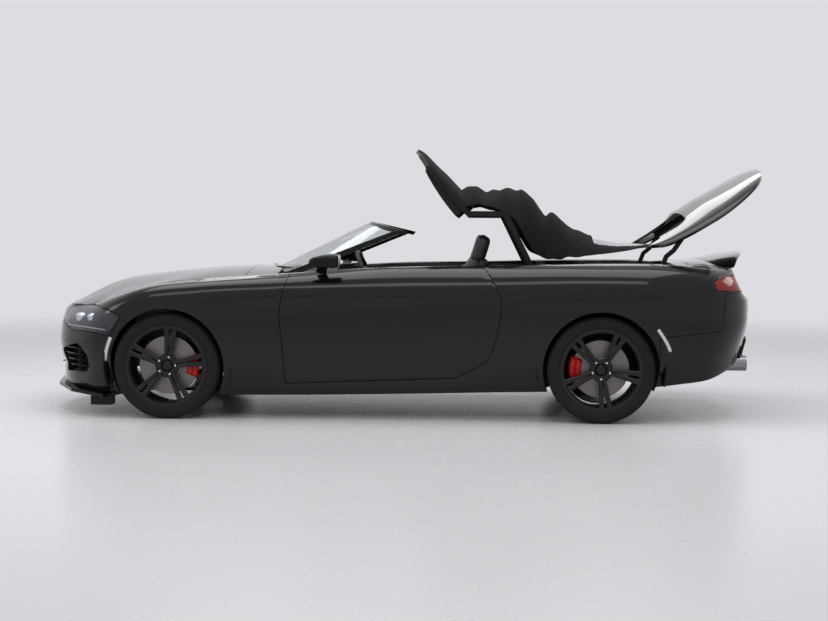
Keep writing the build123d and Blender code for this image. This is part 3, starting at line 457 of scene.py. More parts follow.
# %% Smooth curve through stations
def through(lines, steps, mirror_start=False, mirror_end=False):
    """Cubic runs through stations: each slope is the mean of the two chords beside it, weighted by
    the other chord's length, and the lengths are averaged over the lines."""
    lines = np.asarray(lines, float).transpose(1, 0, 2)
    first = mirrored(lines[1]) if mirror_start else 2 * lines[0] - lines[1]
    last = mirrored(lines[-2]) if mirror_end else 2 * lines[-1] - lines[-2]
    padded = np.concatenate([first[None], lines, last[None]])
    chord = np.linalg.norm(np.diff(padded, axis=0), axis=2).mean(1)[:, None, None]
    slope = np.diff(padded, axis=0) / chord
    tangent = (slope[:-1] * chord[1:] + slope[1:] * chord[:-1]) / (chord[:-1] + chord[1:])
    t = (np.arange(steps) / steps)[None, :, None, None]
    h = chord[1:-1][:, None]
    a, b = lines[:-1][:, None], lines[1:][:, None]
    ta, tb = tangent[:-1][:, None], tangent[1:][:, None]
    run = ((2 * t**3 - 3 * t**2 + 1) * a + (t**3 - 2 * t**2 + t) * h * ta
           + (3 * t**2 - 2 * t**3) * b + (t**3 - t**2) * h * tb)
    return np.concatenate([run.reshape(-1, *lines.shape[1:]), lines[-1:]])


def straight(a, b, count):
    """Rows of points on the straight run from a to b."""
    t = np.linspace(0, 1, count + 1)[None, :, None]
    return a[:, None] * (1 - t) + b[:, None] * t


def bulge(a, b, c, count):
    """Parabola through three points, with the middle one at its share of the two chords."""
    near, far = np.linalg.norm(b - a, axis=1), np.linalg.norm(c - b, axis=1)
    m = (near / (near + far))[:, None, None]
    t = np.linspace(0, 1, count + 1)[None, :, None]
    a, b, c = a[:, None], b[:, None], c[:, None]
    return a * (t - m) * (t - 1) / m + b * t * (t - 1) / (m * (m - 1)) + c * t * (t - m) / (1 - m)


def crown(edge, mid, centre, count):
    """Run from the edge to the middle line that is even about the middle, so that both halves meet
    without a crease: height and length are even powers of the distance, and Y is odd ones."""
    far = np.linalg.norm(edge - centre, axis=1)
    q = (np.linalg.norm(mid - centre, axis=1) / far)[:, None]
    s = np.linspace(1, 0, count + 1)[None, :, None]
    d_edge, d_mid = edge - centre, mid - centre
    b_even = (d_edge - d_mid / q**2) / (1 - q**2)
    even = centre[:, None] + (d_edge - b_even)[:, None] * s**2 + b_even[:, None] * s**4
    b_odd = (d_edge - d_mid / q) / (1 - q**2)
    odd = (d_edge - b_odd)[:, None] * s + b_odd[:, None] * s**3
    even[..., 1] = odd[..., 1]
    return even


rows = through(FEATURE_LINES, STEPS, True, True)
lines = [rows[:, index] for index in range(6)]
tangent = np.gradient(lines[0][:, :2], axis=0)
outward = np.stack([-tangent[:, 1], tangent[:, 0], np.zeros(len(tangent))], 1)
outward *= -1 / np.linalg.norm(outward, axis=1)[:, None]
outward *= np.sign(outward[len(outward) // 2, 1])
under = lines[0] - 0.055 * outward
side_grid = np.concatenate([straight(under, lines[0], 1), straight(lines[0], lines[1], 4)[:, 1:],
                            bulge(lines[1], lines[2], lines[3], 14)[:, 1:],
                            bulge(lines[3], lines[4], lines[5], 12)[:, 1:]], 1)
hood_rows = through(HOOD_LINES, STEPS, True, False)
hood_grid = crown(lines[5][: len(hood_rows)], hood_rows[:, 0], hood_rows[:, 1], 18)
boot_rows = through(BOOT_LINES, STEPS, False, True)
boot_grid = crown(lines[5][-len(boot_rows):], boot_rows[:, 0], boot_rows[:, 1], 18)
belt = lines[5][6 * STEPS: 12 * STEPS + 1]
inner_y = np.interp(belt[:, 0], (-1.12, -1.05, .60, .66), (.70, .765, .765, .745))
rim = np.stack([belt[:, 0], inner_y, belt[:, 2] + 0.003], 1)
crest = (belt + rim) / 2 + (0, 0, 0.008)
flange = rim + np.stack([0 * inner_y, 0 * inner_y - 0.004, 0 * inner_y - 0.045], 1)
belt_grid = np.concatenate([bulge(belt, crest, rim, 6), straight(rim, flange, 2)[:, 1:]], 1)
print("side grid", side_grid.shape, "hood grid", hood_grid.shape)

# %% [markdown]
# ## Cutting the surface into panels
# The strips are joined into one half shell, and every shut line is cut into it as an outline seen
# from the side, the top or the front. Each face then belongs to the panel whose outline it lies
# in, and the narrow bands between the outlines fall away as the gaps.

# %% Shut lines, in metres from the middle of the wheelbase
def grow(outline, margin):
    """Outline moved outward: each edge is shifted by the margin and its neighbours crossed again."""
    p = np.asarray(outline, float)
    area = np.sum(p[:, 0] * np.roll(p[:, 1], -1) - np.roll(p[:, 0], -1) * p[:, 1])
    run = np.roll(p, -1, 0) - p
    run /= np.linalg.norm(run, axis=1)[:, None]
    normal = np.stack([run[:, 1], -run[:, 0]], 1) * np.sign(area)
    before, after = np.roll(normal, 1, 0), normal
    bisector = before + after
    return p + margin * bisector * (2 / np.sum(bisector**2, 1))[:, None]


DOOR_LINE = ((.613, 1.10), (.613, .933), (.658, .785), (.670, .671), (.653, .496), (.640, .324),
             (.636, .232), (-.465, .277), (-.579, .336), (-.682, .395), (-.727, .522), (-.759, .682),
             (-.764, .796), (-.723, .887), (-.654, .993), (-.628, 1.10))
LAMP_LINE = ((1.705, .664), (1.80, .706), (1.890, .727), (2.03, .722), (2.165, .700), (2.185, .600),
             (2.07, .562), (1.955, .560), (1.787, .544))
BUMPER_LINE = ((1.786, 0), (1.776, .356), (1.772, .538), (1.700, .664), (1.80, .710), (1.95, .733),
               (2.12, .716), (2.5, .708), (2.5, 0))
TAIL_LAMP = ((-2.120, .915), (-2.142, .858), (-2.5, .836), (-2.5, .955), (-2.210, .950))
REAR_LINE = ((-1.785, 0), (-1.775, .556), (-2.180, .600), (-2.200, .836), (-2.7, .836), (-2.7, 0))
HOOD_PLAN = ((.905, .775), (1.20, .779), (1.50, .775), (1.68, .757), (1.80, .722), (1.92, .668),
             (2.00, .625), (2.12, .470), (2.19, .26), (2.215, 0), (2.215, -.4), (.905, -.4))
BOOT_PLAN = ((-1.985, -.3), (-1.985, .615), (-2.7, .615), (-2.7, -.3))
GRILLE_FRONT = ((-.01, .285), (.350, .285), (.400, .45), (.335, .612), (-.01, .612))
UPPER_FRONT = ((-.01, .598), (.37, .600), (.425, .632), (.38, .666), (-.01, .670))
INTAKE_FRONT = ((.545, .275), (.770, .290), (.815, .400), (.770, .480), (.560, .425))
ARCH_R = .374
turns = np.radians(np.arange(0, 360, 9))
arches = {}
for end, hub_x in AXLE_X.items():
    arches[end] = np.stack([hub_x + ARCH_R * np.cos(turns), HUB_Z + ARCH_R * np.sin(turns)], 1)
SIDE, TOP, FRONT = (0, 2), (0, 1), (1, 2)


def cut_along(bm, outline, view, low, high):
    """Cuts the faces under each edge of an outline, seen square to the view's two axes, where the
    third axis lies between low and high."""
    third = 3 - sum(view)
    outline = np.asarray(outline, float)
    for a, b in zip(outline, np.roll(outline, -1, 0)):
        lo, hi = np.minimum(a, b) - 0.03, np.maximum(a, b) + 0.03
        centres = np.array([face.calc_center_median() for face in bm.faces])
        near = ((centres[:, view[0]] > lo[0]) & (centres[:, view[0]] < hi[0]) & (centres[:, view[1]] > lo[1])
                & (centres[:, view[1]] < hi[1]) & (centres[:, third] > low) & (centres[:, third] < high))
        bm.faces.ensure_lookup_table()
        faces = [bm.faces[index] for index in np.flatnonzero(near)]
        if not faces:
            continue
        geometry = set(faces)
        for face in faces:
            geometry.update(face.edges)
            geometry.update(face.verts)
        co, no = [0.0, 0.0, 0.0], [0.0, 0.0, 0.0]
        co[view[0]], co[view[1]] = a
        no[view[0]], no[view[1]] = b[1] - a[1], a[0] - b[0]
        bmesh.ops.bisect_plane(bm, geom=list(geometry), dist=1e-7, plane_co=co, plane_no=no)


def inside(points, outline):
    """Whether each point lies in an outline: an odd number of edges is crossed on one side of it."""
    p, q = np.asarray(outline, float), np.roll(np.asarray(outline, float), -1, 0)
    x, y = points[:, 0][:, None], points[:, 1][:, None]
    crosses = (p[:, 1] > y) != (q[:, 1] > y)
    span = np.where(q[:, 1] == p[:, 1], 1e-12, q[:, 1] - p[:, 1])
    at = p[:, 0] + (y - p[:, 1]) * (q[:, 0] - p[:, 0]) / span
    return (crosses & (x < at)).sum(1) % 2 == 1


# %% Joining the strips and cutting every shut line
def oriented(grid, toward):
    """Faces of a grid, reversed if their mean normal points against the given direction."""
    count_rows, count_columns = grid.shape[:2]
    faces = quads(count_rows, count_columns)
    p = grid.reshape(-1, 3)
    normal = np.cross(p[faces[:, 2]] - p[faces[:, 0]], p[faces[:, 3]] - p[faces[:, 1]]).sum(0)
    return faces if normal @ np.asarray(toward) > 0 else faces[:, ::-1]


shell_points, shell_faces, total = [], [], 0
for grid, toward in ((side_grid, (0, 1, 0)), (hood_grid, (0, 0, 1)), (boot_grid, (0, 0, 1)),
                     (belt_grid, (0, 0, 1))):
    shell_points.append(grid.reshape(-1, 3))
    shell_faces.append(oriented(grid, toward) + total)
    total += len(shell_points[-1])
shell_points, shell_faces = np.vstack(shell_points), np.vstack(shell_faces)
shell = bmesh.new()
shell_mesh = bpy.data.meshes.new("shell")
shell_mesh.from_pydata(shell_points.tolist(), [], shell_faces.tolist())
shell.from_mesh(shell_mesh)
bmesh.ops.remove_doubles(shell, verts=shell.verts, dist=2e-5)
HALF_GAP = 0.0022
# outline, view, lowest and highest value of the third axis
SHUT_LINES = ((DOOR_LINE, SIDE, .68, 1), (LAMP_LINE, SIDE, .40, 1), (BUMPER_LINE, SIDE, -1, 1),
              (TAIL_LAMP, SIDE, .61, 1), (REAR_LINE, SIDE, -1, 1), (HOOD_PLAN, TOP, .6, 1.2),
              (BOOT_PLAN, TOP, .83, 1.2))
for outline, view, low, high in SHUT_LINES:
    cut_along(shell, grow(outline, HALF_GAP), view, low, high)
    cut_along(shell, grow(outline, -HALF_GAP), view, low, high)
for outline in arches.values():
    cut_along(shell, outline, SIDE, .6, 1)
cut_along(shell, GRILLE_FRONT, FRONT, 1.9, 3)
cut_along(shell, INTAKE_FRONT, FRONT, 1.7, 3)
cut_along(shell, UPPER_FRONT, FRONT, 1.9, 3)
LID_FOOT, BUMPER_TOP = .842, .834
LID_EDGE, QUARTER_EDGE = .618, .623
for level in (LID_FOOT, BUMPER_TOP):
    cut_along(shell, ((-2.1, level), (-2.5, level)), SIDE, -1, .63)
for edge in (LID_EDGE, QUARTER_EDGE):
    cut_along(shell, ((-2.1, edge), (-2.5, edge)), TOP, .8, 1.1)
WING_END = .6385
cut_along(shell, ((WING_END, 0), (WING_END, .30)), SIDE, .6, 1)
cut_along(shell, ((.905, 1.1), (.905, .9)), SIDE, -1, .9)
centres = np.array([face.calc_center_median() for face in shell.faces])
shell.verts.index_update()
corner_lists = [[vert.index for vert in face.verts] for face in shell.faces]
shell_xyz = np.array([vert.co for vert in shell.verts])
print("half shell faces", len(corner_lists))

# %% [markdown]
# The order of the tests decides what wins where outlines overlap: openings first, then lamps,
# then the moving panels, and the fixed wings and quarters take what is left.

# %% Sorting faces into panels
x, y, z = centres.T
side_view, plan_view, front_view = centres[:, [0, 2]], centres[:, [0, 1]], centres[:, [1, 2]]
kind = np.full(len(centres), "", dtype=object)


def claim(name, test):
    """Gives the faces that pass the test and have no panel yet to the named one."""
    kind[(kind == "") & test] = name


def gap_of(points, outline):
    """Faces that lie between an outline grown and shrunk by half the gap."""
    return inside(points, grow(outline, HALF_GAP)) & ~inside(points, grow(outline, -HALF_GAP))


for end, hub_x in AXLE_X.items():
    claim("none", (np.hypot(x - hub_x, z - HUB_Z) < ARCH_R - .0005) & (y > .6))
claim("grille", inside(front_view, GRILLE_FRONT) & (x > 1.9))
claim("intake", inside(front_view, INTAKE_FRONT) & (x > 1.7))
claim("upper_grille", inside(front_view, UPPER_FRONT) & (x > 1.9))
claim("none", gap_of(plan_view, HOOD_PLAN) & (z > .6) & (y >= 0) & (x > .9))
claim("hood", inside(plan_view, HOOD_PLAN) & (z > .6) & (x > .9))
claim("none", gap_of(side_view, LAMP_LINE) & (y > .4))
claim("lamp", inside(side_view, LAMP_LINE) & (y > .4))
claim("none", gap_of(side_view, DOOR_LINE) & (y > .7))
claim("door", inside(side_view, DOOR_LINE) & (y > .7))
claim("none", gap_of(side_view, BUMPER_LINE) & (x < 2.3) & (z > .16))
claim("bumper", inside(side_view, BUMPER_LINE))
claim("none", gap_of(plan_view, BOOT_PLAN) & (z > .95) & (x < -1.98))
claim("none", (x < -2.15) & (y > LID_EDGE) & (y < QUARTER_EDGE) & (z > LID_FOOT))
claim("boot", (x < -1.985) & (y < LID_EDGE) & (z > LID_FOOT))
claim("none", gap_of(side_view, TAIL_LAMP) & (y > .61))
claim("tail_lamp", inside(side_view, TAIL_LAMP) & (y > .61))
claim("none", gap_of(side_view, REAR_LINE) & (z > .3))
claim("rear", inside(side_view, REAR_LINE))
claim("none", (z > BUMPER_TOP) & (z < LID_FOOT) & (y < .63) & (x < -2.1))
claim("wing", x > WING_END)
claim("quarter", x <= WING_END)


def panel(label):
    """Points and faces of one panel of the left half."""
    chosen = [corner_lists[index] for index in np.flatnonzero(kind == label)]
    used = sorted({corner for face in chosen for corner in face})
    number = {old: new for new, old in enumerate(used)}
    return shell_xyz[used], [[number[corner] for corner in face] for face in chosen]


for label in sorted(set(kind)):
    print(label, int((kind == label).sum()))

# %% [markdown]
# Panels on one body are one object with both sides in it. Doors are one object a side, because
# each swings on its own hinge. The wall goes inward, so the outer surface stays true.

# %% Painted panels
# panel, object, body, CAD node it replaces, wall
PANELS = (
    ("hood", "hood_skin", "hood", "hood", 0.016),
    ("wing", "front_wings", "body", "front_fenders", 0.010),
    ("bumper", "front_bumper_skin", "body", "front_bumper", 0.014),
    ("quarter", "rear_quarters", "body", "side_panels", 0.014),
    ("rear", "rear_bumper_skin", "body", "rear_bumper", 0.014),
)
for label, name, body, replaced, wall in PANELS:
    points, faces = panel(label)
    made = both_sides(name, points, faces, "body_paint")
    give_wall(made, wall, bevel=0.0014)
    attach(made, body)
    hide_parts(replaced)
door_points, door_faces = panel("door")
for side, sign in SIDES.items():
    points = door_points if sign == 1 else mirrored(door_points)
    faces = door_faces if sign == 1 else [face[::-1] for face in door_faces]
    made = object_of(f"door_skin_{side}", points, faces, "body_paint")
    give_wall(made, 0.010, bevel=0.0014)
    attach(made, f"door_{side}")
    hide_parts(f"door_{side}")

# %% [markdown]
# The grille and the corner intakes lead into dark ducts. Each is the bumper's own surface over
# the opening, set back behind it, with a collar that joins it to the opening's rim.

# %% Ducts behind the openings
for label, back, narrow in (("grille", 0.075, 0.97), ("intake", 0.060, 0.94), ("upper_grille", 0.070, 0.98)):
    points, faces = panel(label)
    deep_points = (points - (back, 0, 0)) * (1, narrow, 1)
    made = both_sides(f"{label}_duct", deep_points, faces, "matte_black", merge=label != "intake")
    bm = bmesh.new()
    bm.from_mesh(made.data)
    rim_edges = [edge for edge in bm.edges if edge.is_boundary]
    grown = bmesh.ops.extrude_edge_only(bm, edges=rim_edges)["geom"]
    for vert in [item for item in grown if isinstance(item, bmesh.types.BMVert)]:
        vert.co.x += back - 0.012
        vert.co.y /= narrow
    bm.to_mesh(made.data)
    bm.free()
    give_wall(made, 0.002)
    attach(made, "body")

# %% [markdown]
# ## Boot lid with its raised lip
# The lip is a short wing that grows out of the lid and is highest at the tail. Its section is
# carried across the car and shrinks to nothing at both ends.

# %% Boot lid and lip
points, faces = panel("boot")
boot = both_sides("boot_lid_skin", points, faces, "body_paint")
give_wall(boot, 0.016, bevel=0.0014)
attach(boot, "boot_lid")
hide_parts("boot_lid")
LIP_SECTION = np.array(((-2.07, 1.040), (-2.16, 1.055), (-2.27, 1.078), (-2.37, 1.097), (-2.418, 1.1035),
                        (-2.423, 1.098), (-2.39, 1.062), (-2.34, 1.02), (-2.30, 1.00), (-2.2, 1.02)))
across = np.linspace(-1, 1, 61)
rise = (1 - np.abs(across) ** 6)[:, None]
lip_x = LIP_SECTION[None, :, 0] + 0.13 * (across**2)[:, None] * (LIP_SECTION[None, :, 0] < -2.2)
base_z = 1.03 - 0.035 * (across**2)[:, None]
lip_z = base_z - 0.012 + (LIP_SECTION[None, :, 1] - 1.03 + 0.012) * (0.15 + 0.85 * rise)
lip = np.stack([lip_x, np.broadcast_to(0.606 * across[:, None], lip_x.shape), lip_z], -1)
made = object_of("boot_lip", lip, quads(61, len(LIP_SECTION), wrap_columns=True), "body_paint")
bm = bmesh.new()
bm.from_mesh(made.data)
bmesh.ops.holes_fill(bm, edges=bm.edges, sides=0)
bmesh.ops.recalc_face_normals(bm, faces=bm.faces)
bm.to_mesh(made.data)
bm.free()
smooth = made.modifiers.new("smooth", "SUBSURF")
smooth.levels = smooth.render_levels = 1
settle(made, 60)
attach(made, "boot_lid")


# %% [markdown]
# ## Turned and swept forms
# Tyres, rims, nuts and lamps are profiles turned about an axis. Spokes, wipers and roof rails are
# rounded sections carried along a path.

# %% Turning a profile about the wheel's axis, and sweeping a section
def lathe(profile, count=96, closed=False):
    """Points of a profile of (across, radius) pairs turned about the Y axis: the radius is spread
    round the circle as x = r cos a and z = r sin a. Rows go round and columns follow the profile."""
    profile = np.asarray(profile, float)
    a = np.linspace(0, 2 * np.pi, count, endpoint=False)[:, None]
    grid = np.stack([profile[:, 1] * np.cos(a), np.broadcast_to(profile[:, 0], (count, len(profile))),
                     profile[:, 1] * np.sin(a)], -1)
    return grid.reshape(-1, 3), quads(count, len(profile), True, closed)


def sweep(path, wide, deep, side=(0, 1, 0), power=2.6, count=14, caps=True):
    """Rounded section carried along a path: a superellipse whose half width lies along the side
    direction and whose half depth lies square to it and to the path."""
    path = np.asarray(path, float)
    n = len(path)
    wide, deep = np.broadcast_to(wide, n)[:, None, None], np.broadcast_to(deep, n)[:, None, None]
    run = np.gradient(path, axis=0)
    run /= np.linalg.norm(run, axis=1)[:, None]
    across = np.broadcast_to(np.asarray(side, float), path.shape)
    across = across - (across * run).sum(1)[:, None] * run
    across /= np.linalg.norm(across, axis=1)[:, None]
    up_dir = np.cross(run, across)
    a = np.linspace(0, 2 * np.pi, count, endpoint=False)[None, :, None]
    c, s = np.cos(a), np.sin(a)
    ring = (np.sign(c) * np.abs(c) ** (2 / power) * wide * across[:, None]
            + np.sign(s) * np.abs(s) ** (2 / power) * deep * up_dir[:, None])
    points = path[:, None] + ring
    faces = [list(face) for face in quads(n, count, wrap_columns=True)]
    if caps:
        faces += [list(range(count))[::-1], list(range((n - 1) * count, n * count))]
    return points.reshape(-1, 3), faces


def collected(parts):
    """One list of points and one of faces from several pieces."""
    points, faces, start = [], [], 0
    for part_points, part_faces in parts:
        points.append(np.asarray(part_points))
        faces += [[int(corner) + start for corner in face] for face in part_faces]
        start += len(part_points)
    return np.vstack(points), faces


# %% [markdown]
# ## Tyres
# A tyre's section runs from bead to bead: a bulging sidewall with a rim-guard rib, a round
# shoulder, and a flat tread cut by four grooves. Fine cuts across the tread are bump.

# %% Tyre section and rubber with tread cuts
def tyre_profile(half):
    """Points (across, radius) of the section, outer side to inner side."""
    wall = [(half - 0.016, .252), (half - 0.013, .262), (half - 0.004, .270), (half - 0.001, .276),
            (half - 0.002, .281), (half + 0.000, .295), (half - 0.001, .312), (half - 0.006, .325),
            (half - 0.013, .335), (half - 0.022, .341)]
    tread_half = half - 0.026
    tread = []
    for centre in (0.62, 0.22):
        c = centre * tread_half
        tread += [(c + .0075, .3447), (c + .0055, .3375), (c - .0055, .3375), (c - .0075, .3449)]
    outer = wall + [(tread_half, .3435)] + tread
    return outer + [(-a, r) for a, r in outer[::-1]]


tread_rubber, tree, shader = finish_of("tyre_tread", Specular_IOR_Level=0.2)
with_group(tree, shader, dust_group, DUSTY, Colour=(0.009, 0.009, 0.0095, 1), Roughness=0.7, Top=0.5,
           Amount=0.15)
pattern = node(tree, "ShaderNodeUVMap", uv_map="around")
split = node(tree, "ShaderNodeSeparateXYZ")
tree.links.new(pattern.outputs[0], split.inputs[0])
turn = math_node(tree, "MULTIPLY", split.outputs["X"], 150.0)
slant = math_node(tree, "MULTIPLY", split.outputs["Y"], 9.0)
wave = math_node(tree, "FRACT", math_node(tree, "ADD", turn, slant), 0.0)
sipe = math_node(tree, "GREATER_THAN", wave, 0.14)
from_middle = math_node(tree, "ABSOLUTE", math_node(tree, "SUBTRACT", split.outputs["Y"], 0.5), 0.0)
on_tread = math_node(tree, "LESS_THAN", from_middle, 0.26)
height = math_node(tree, "MAXIMUM", sipe, math_node(tree, "SUBTRACT", 1.0, on_tread))
bump = node(tree, "ShaderNodeBump", in_Distance=0.003, in_Strength=0.9)
tree.links.new(height, bump.inputs["Height"])
tree.links.new(bump.outputs[0], shader.inputs["Normal"])
finishes["tyre_tread"] = tread_rubber
HALF_W = {"front": .1225, "rear": .1375}
TRACK = {"front": .800, "rear": .794}
# degrees by which each wheel had rolled on when the photograph was taken
SPOKE_START = {"front": 25.6, "rear": 47.0}
NUT_START = {"front": 33.0, "rear": 54.0}
NUT_CIRCLE = .060


def at_hub(points, end, sign):
    """Wheel points moved to their hub; on the right side they are mirrored."""
    moved = np.asarray(points) + (AXLE_X[end], TRACK[end], HUB_Z)
    return moved if sign == 1 else mirrored(moved)


def wheel_piece(name, points, faces, finish, end, sign):
    """Piece of a wheel at its hub, with its faces turned round on the mirrored side."""
    faces = [list(face) for face in faces]
    return object_of(name, at_hub(points, end, sign),
                     faces if sign == 1 else [face[::-1] for face in faces], finish)


for end in AXLE_X:
    profile = tyre_profile(HALF_W[end])
    points, faces = lathe(profile, 128)
    length = np.concatenate([[0], np.cumsum(np.linalg.norm(np.diff(np.array(profile), axis=0), axis=1))])
    for side, sign in SIDES.items():
        made = wheel_piece(f"tyre_{end}_{side}_road", points, faces, "tyre_tread", end, sign)
        tidy_mesh(made)
        layer = made.data.uv_layers.new(name="around")
        corners = np.array([loop.vertex_index for loop in made.data.loops])
        hub_place = (AXLE_X[end] + SHIFT, sign * TRACK[end], HUB_Z)
        place = np.array([vertex.co for vertex in made.data.vertices]) - hub_place
        turn = np.arctan2(place[:, 2], place[:, 0]) / (2 * np.pi) + 0.5
        share = 0.5 + sign * place[:, 1] / length[-1]
        layer.data.foreach_set("uv", np.stack([turn[corners], share[corners]], 1).ravel())
        made.data.set_sharp_from_angle(angle=math.radians(40))
        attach(made, f"wheel_{end}_{side}")
        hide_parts(f"tyre_{end}_{side}")
print("tyres made, section points", len(profile))

# %% [markdown]
# ## Rims
# Five spokes, each split into two slim blades that part toward the rim. The blades are thickest
# at the hub and dish inward a little. Five bright nuts sit round a plain cap.

# %% Rim barrel, blades, cap and nuts
def rim_parts(end):
    """Gloss black parts of one rim, in the wheel's own frame with +Y outward."""
    half = HALF_W[end]
    lip = half - 0.006
    barrel = [(lip - .012, .236), (lip - .002, .244), (lip, .256), (lip + .001, .266), (lip - .004, .2705),
              (lip - .010, .268), (lip - .014, .254), (0.03, .243), (-half + .03, .252), (-half + .004, .268),
              (-half, .270), (-half + .004, .262), (-half + .03, .238), (0.0, .232), (half - .05, .234)]
    parts = [lathe(barrel, 128, True)]
    hub = [(0.045, .034), (lip - .040, .036), (lip - .036, .040), (lip - .034, .070), (lip - .040, .078),
           (0.050, .080)]
    parts.append(lathe(hub, 64, True))
    cap = [(lip - .046, .0001), (lip - .028, .0001), (lip - .028, .022), (lip - .030, .029),
           (lip - .036, .0335), (lip - .046, .0335)]
    parts.append(lathe(cap, 48))
    s = np.linspace(0, 1, 22)
    radius = .062 + s * (.245 - .062)
    for index in range(5):
        angle = math.radians(90 - SPOKE_START[end] - index * 72)
        along = np.array((math.sin(angle), 0, math.cos(angle)))
        aside = np.array((math.cos(angle), 0, -math.sin(angle)))
        for hand in (-1, 1):
            offset = hand * (.0120 + .0150 * s**1.3)
            depth = lip - .026 + .016 * s**2
            path = radius[:, None] * along + offset[:, None] * aside + np.stack([0 * s, depth, 0 * s], 1)
            parts.append(sweep(path, .0125 + .0060 * s**1.5, .018 - .006 * s, side=aside, power=3.4,
                               count=16))
    return collected(parts)


def nut_parts(end):
    """Bright nuts: short domed hexagons on the bolt circle."""
    lip = HALF_W[end] - 0.006
    parts = []
    for index in range(5):
        angle = math.radians(90 - NUT_START[end] - index * 72)
        points, faces = lathe([(lip - .038, .0105), (lip - .024, .0105), (lip - .019, .0075),
                               (lip - .018, .0001)], 12)
        parts.append((points + (NUT_CIRCLE * math.sin(angle), 0, NUT_CIRCLE * math.cos(angle)), faces))
    return collected(parts)


for end in AXLE_X:
    black, bright = rim_parts(end), nut_parts(end)
    for side, sign in SIDES.items():
        made = wheel_piece(f"rim_{end}_{side}_blades", *black, "rim_black", end, sign)
        tidy_mesh(made)
        made.data.set_sharp_from_angle(angle=math.radians(38))
        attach(made, f"wheel_{end}_{side}")
        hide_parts(f"rim_{end}_{side}")
        made = wheel_piece(f"nuts_{end}_{side}", *bright, "bright_steel", end, sign)
        tidy_mesh(made)
        made.data.set_sharp_from_angle(angle=math.radians(30))
        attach(made, f"wheel_{end}_{side}")

# %% [markdown]
# ## Brake calipers
# A caliper is a ribbed casting that straddles the disc. Its section, a block with two ribs and a
# waist between them, is carried round an arc of the disc. The front ones turn with the steering.

# %% Caliper bodies
def caliper(centre_angle, spread):
    """U-shaped section bent round the hub: it is carried along an arc of the disc, and its outer
    face rises in two ribs that follow the arc, as the size of a sine of the radius."""
    a = np.radians(np.linspace(centre_angle - spread, centre_angle + spread, 25))[:, None]
    q = np.linspace(0, 1, 17)
    ends = np.clip(1 - np.abs(np.linspace(-1, 1, 25)[:, None]) ** 8, 0, 1)
    face_r = .128 + .078 * q[None, :]
    face_y = .058 + .011 * np.abs(np.sin(2 * np.pi * q))[None, :] * ends - .008 * (1 - ends)
    saddle = np.array(((-.030, .206), (-.030, .128), (-.007, .128), (-.007, .197), (.039, .197),
                       (.039, .128)))
    y_all = np.concatenate([face_y, saddle[:, 0] + 0 * a], 1)
    r_all = np.concatenate([face_r + 0 * a, saddle[:, 1] + 0 * a], 1)
    ring = np.stack([r_all * np.cos(a), y_all, r_all * np.sin(a)], -1)
    n = ring.shape[1]
    closing = [list(range(n))[::-1], list(range(24 * n, 25 * n))]
    faces = [list(face) for face in quads(25, n, wrap_columns=True)] + closing
    return ring.reshape(-1, 3), faces


for end, centre_angle in (("front", 180), ("rear", 3)):
    points, faces = caliper(centre_angle, 23)
    for side, sign in SIDES.items():
        made = wheel_piece(f"caliper_{end}_{side}_casting", points, faces, "caliper_red", end, sign)
        tidy_mesh(made)
        made.data.set_sharp_from_angle(angle=math.radians(40))
        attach(made, f"steering_{side}" if end == "front" else "body")
        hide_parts(f"caliper_{side}" if end == "front" else "rear_calipers")

# %% [markdown]
# The wheel houses are closed toward the middle of the car by a round wall with a hole for the
# axle, so that no daylight shows past the wheel.

# %% Inner walls of the rear wheel houses
a = np.radians(np.linspace(-24, 204, 48))[:, None]
r = np.linspace(.12, .41, 6)[None, :]
wall_grid = np.stack([AXLE_X["rear"] + r * np.cos(a), .606 + 0 * r * a, HUB_Z + r * np.sin(a)], -1)
made = both_sides("rear_wheel_house_walls", wall_grid, oriented(wall_grid, (0, 1, 0)), "matte_black",
                  merge=False)
give_wall(made, 0.003)
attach(made, "body")

# %% [markdown]
# Slim bars cross the upper opening, and four slats stand in each corner intake. They follow the
# bumper's curve, a little behind its surface.

# %% Bars of the upper opening and slats of the intakes
def nose_x(py, pz):
    """X of the bumper's surface at a place seen from the front: mean of the nearest six points."""
    ahead_grid = side_grid.reshape(-1, 3)
    ahead_grid = ahead_grid[ahead_grid[:, 0] > 1.6]
    away = (ahead_grid[:, 1] - py) ** 2 + (ahead_grid[:, 2] - pz) ** 2 + 1e-8
    near = np.argsort(away)[:6]
    return float((ahead_grid[near, 0] / away[near]).sum() / (1 / away[near]).sum())


def bar_across(ys, pz, back, wide, deep):
    """Rounded bar along the nose at one height, set back from the surface."""
    line = np.array([(nose_x(abs(py), pz) - back, py, pz) for py in ys])
    smooth_line = np.stack([np.poly1d(np.polyfit(ys, line[:, 0], 4))(ys), line[:, 1], line[:, 2]], 1)
    return sweep(smooth_line, wide, deep, side=(1, 0, 0), power=3)


bars = [bar_across(np.linspace(-.40, .40, 41), pz, .030, .014, .0045) for pz in (.622, .645)]
for sign in (1, -1):
    for pz in (.325, .365, .405, .445):
        inner_end, outer_end = .575 - .3 * (pz - .36), .765
        slat = bar_across(np.linspace(inner_end, outer_end, 12), pz, .030, .018, .0055)
        bars.append(slat if sign == 1 else (mirrored(slat[0]), [face[::-1] for face in slat[1]]))
points, faces = collected(bars)
made = object_of("nose_bars", points, faces, "black_trim")
tidy_mesh(made)
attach(made, "body")

# %% [markdown]
# ## Lamps
# A headlamp is a clear lens flush with the wing, a dark bucket behind it, two round projectors
# and a white light strip that doubles as the day light. The tail lamps are one red lens a side.

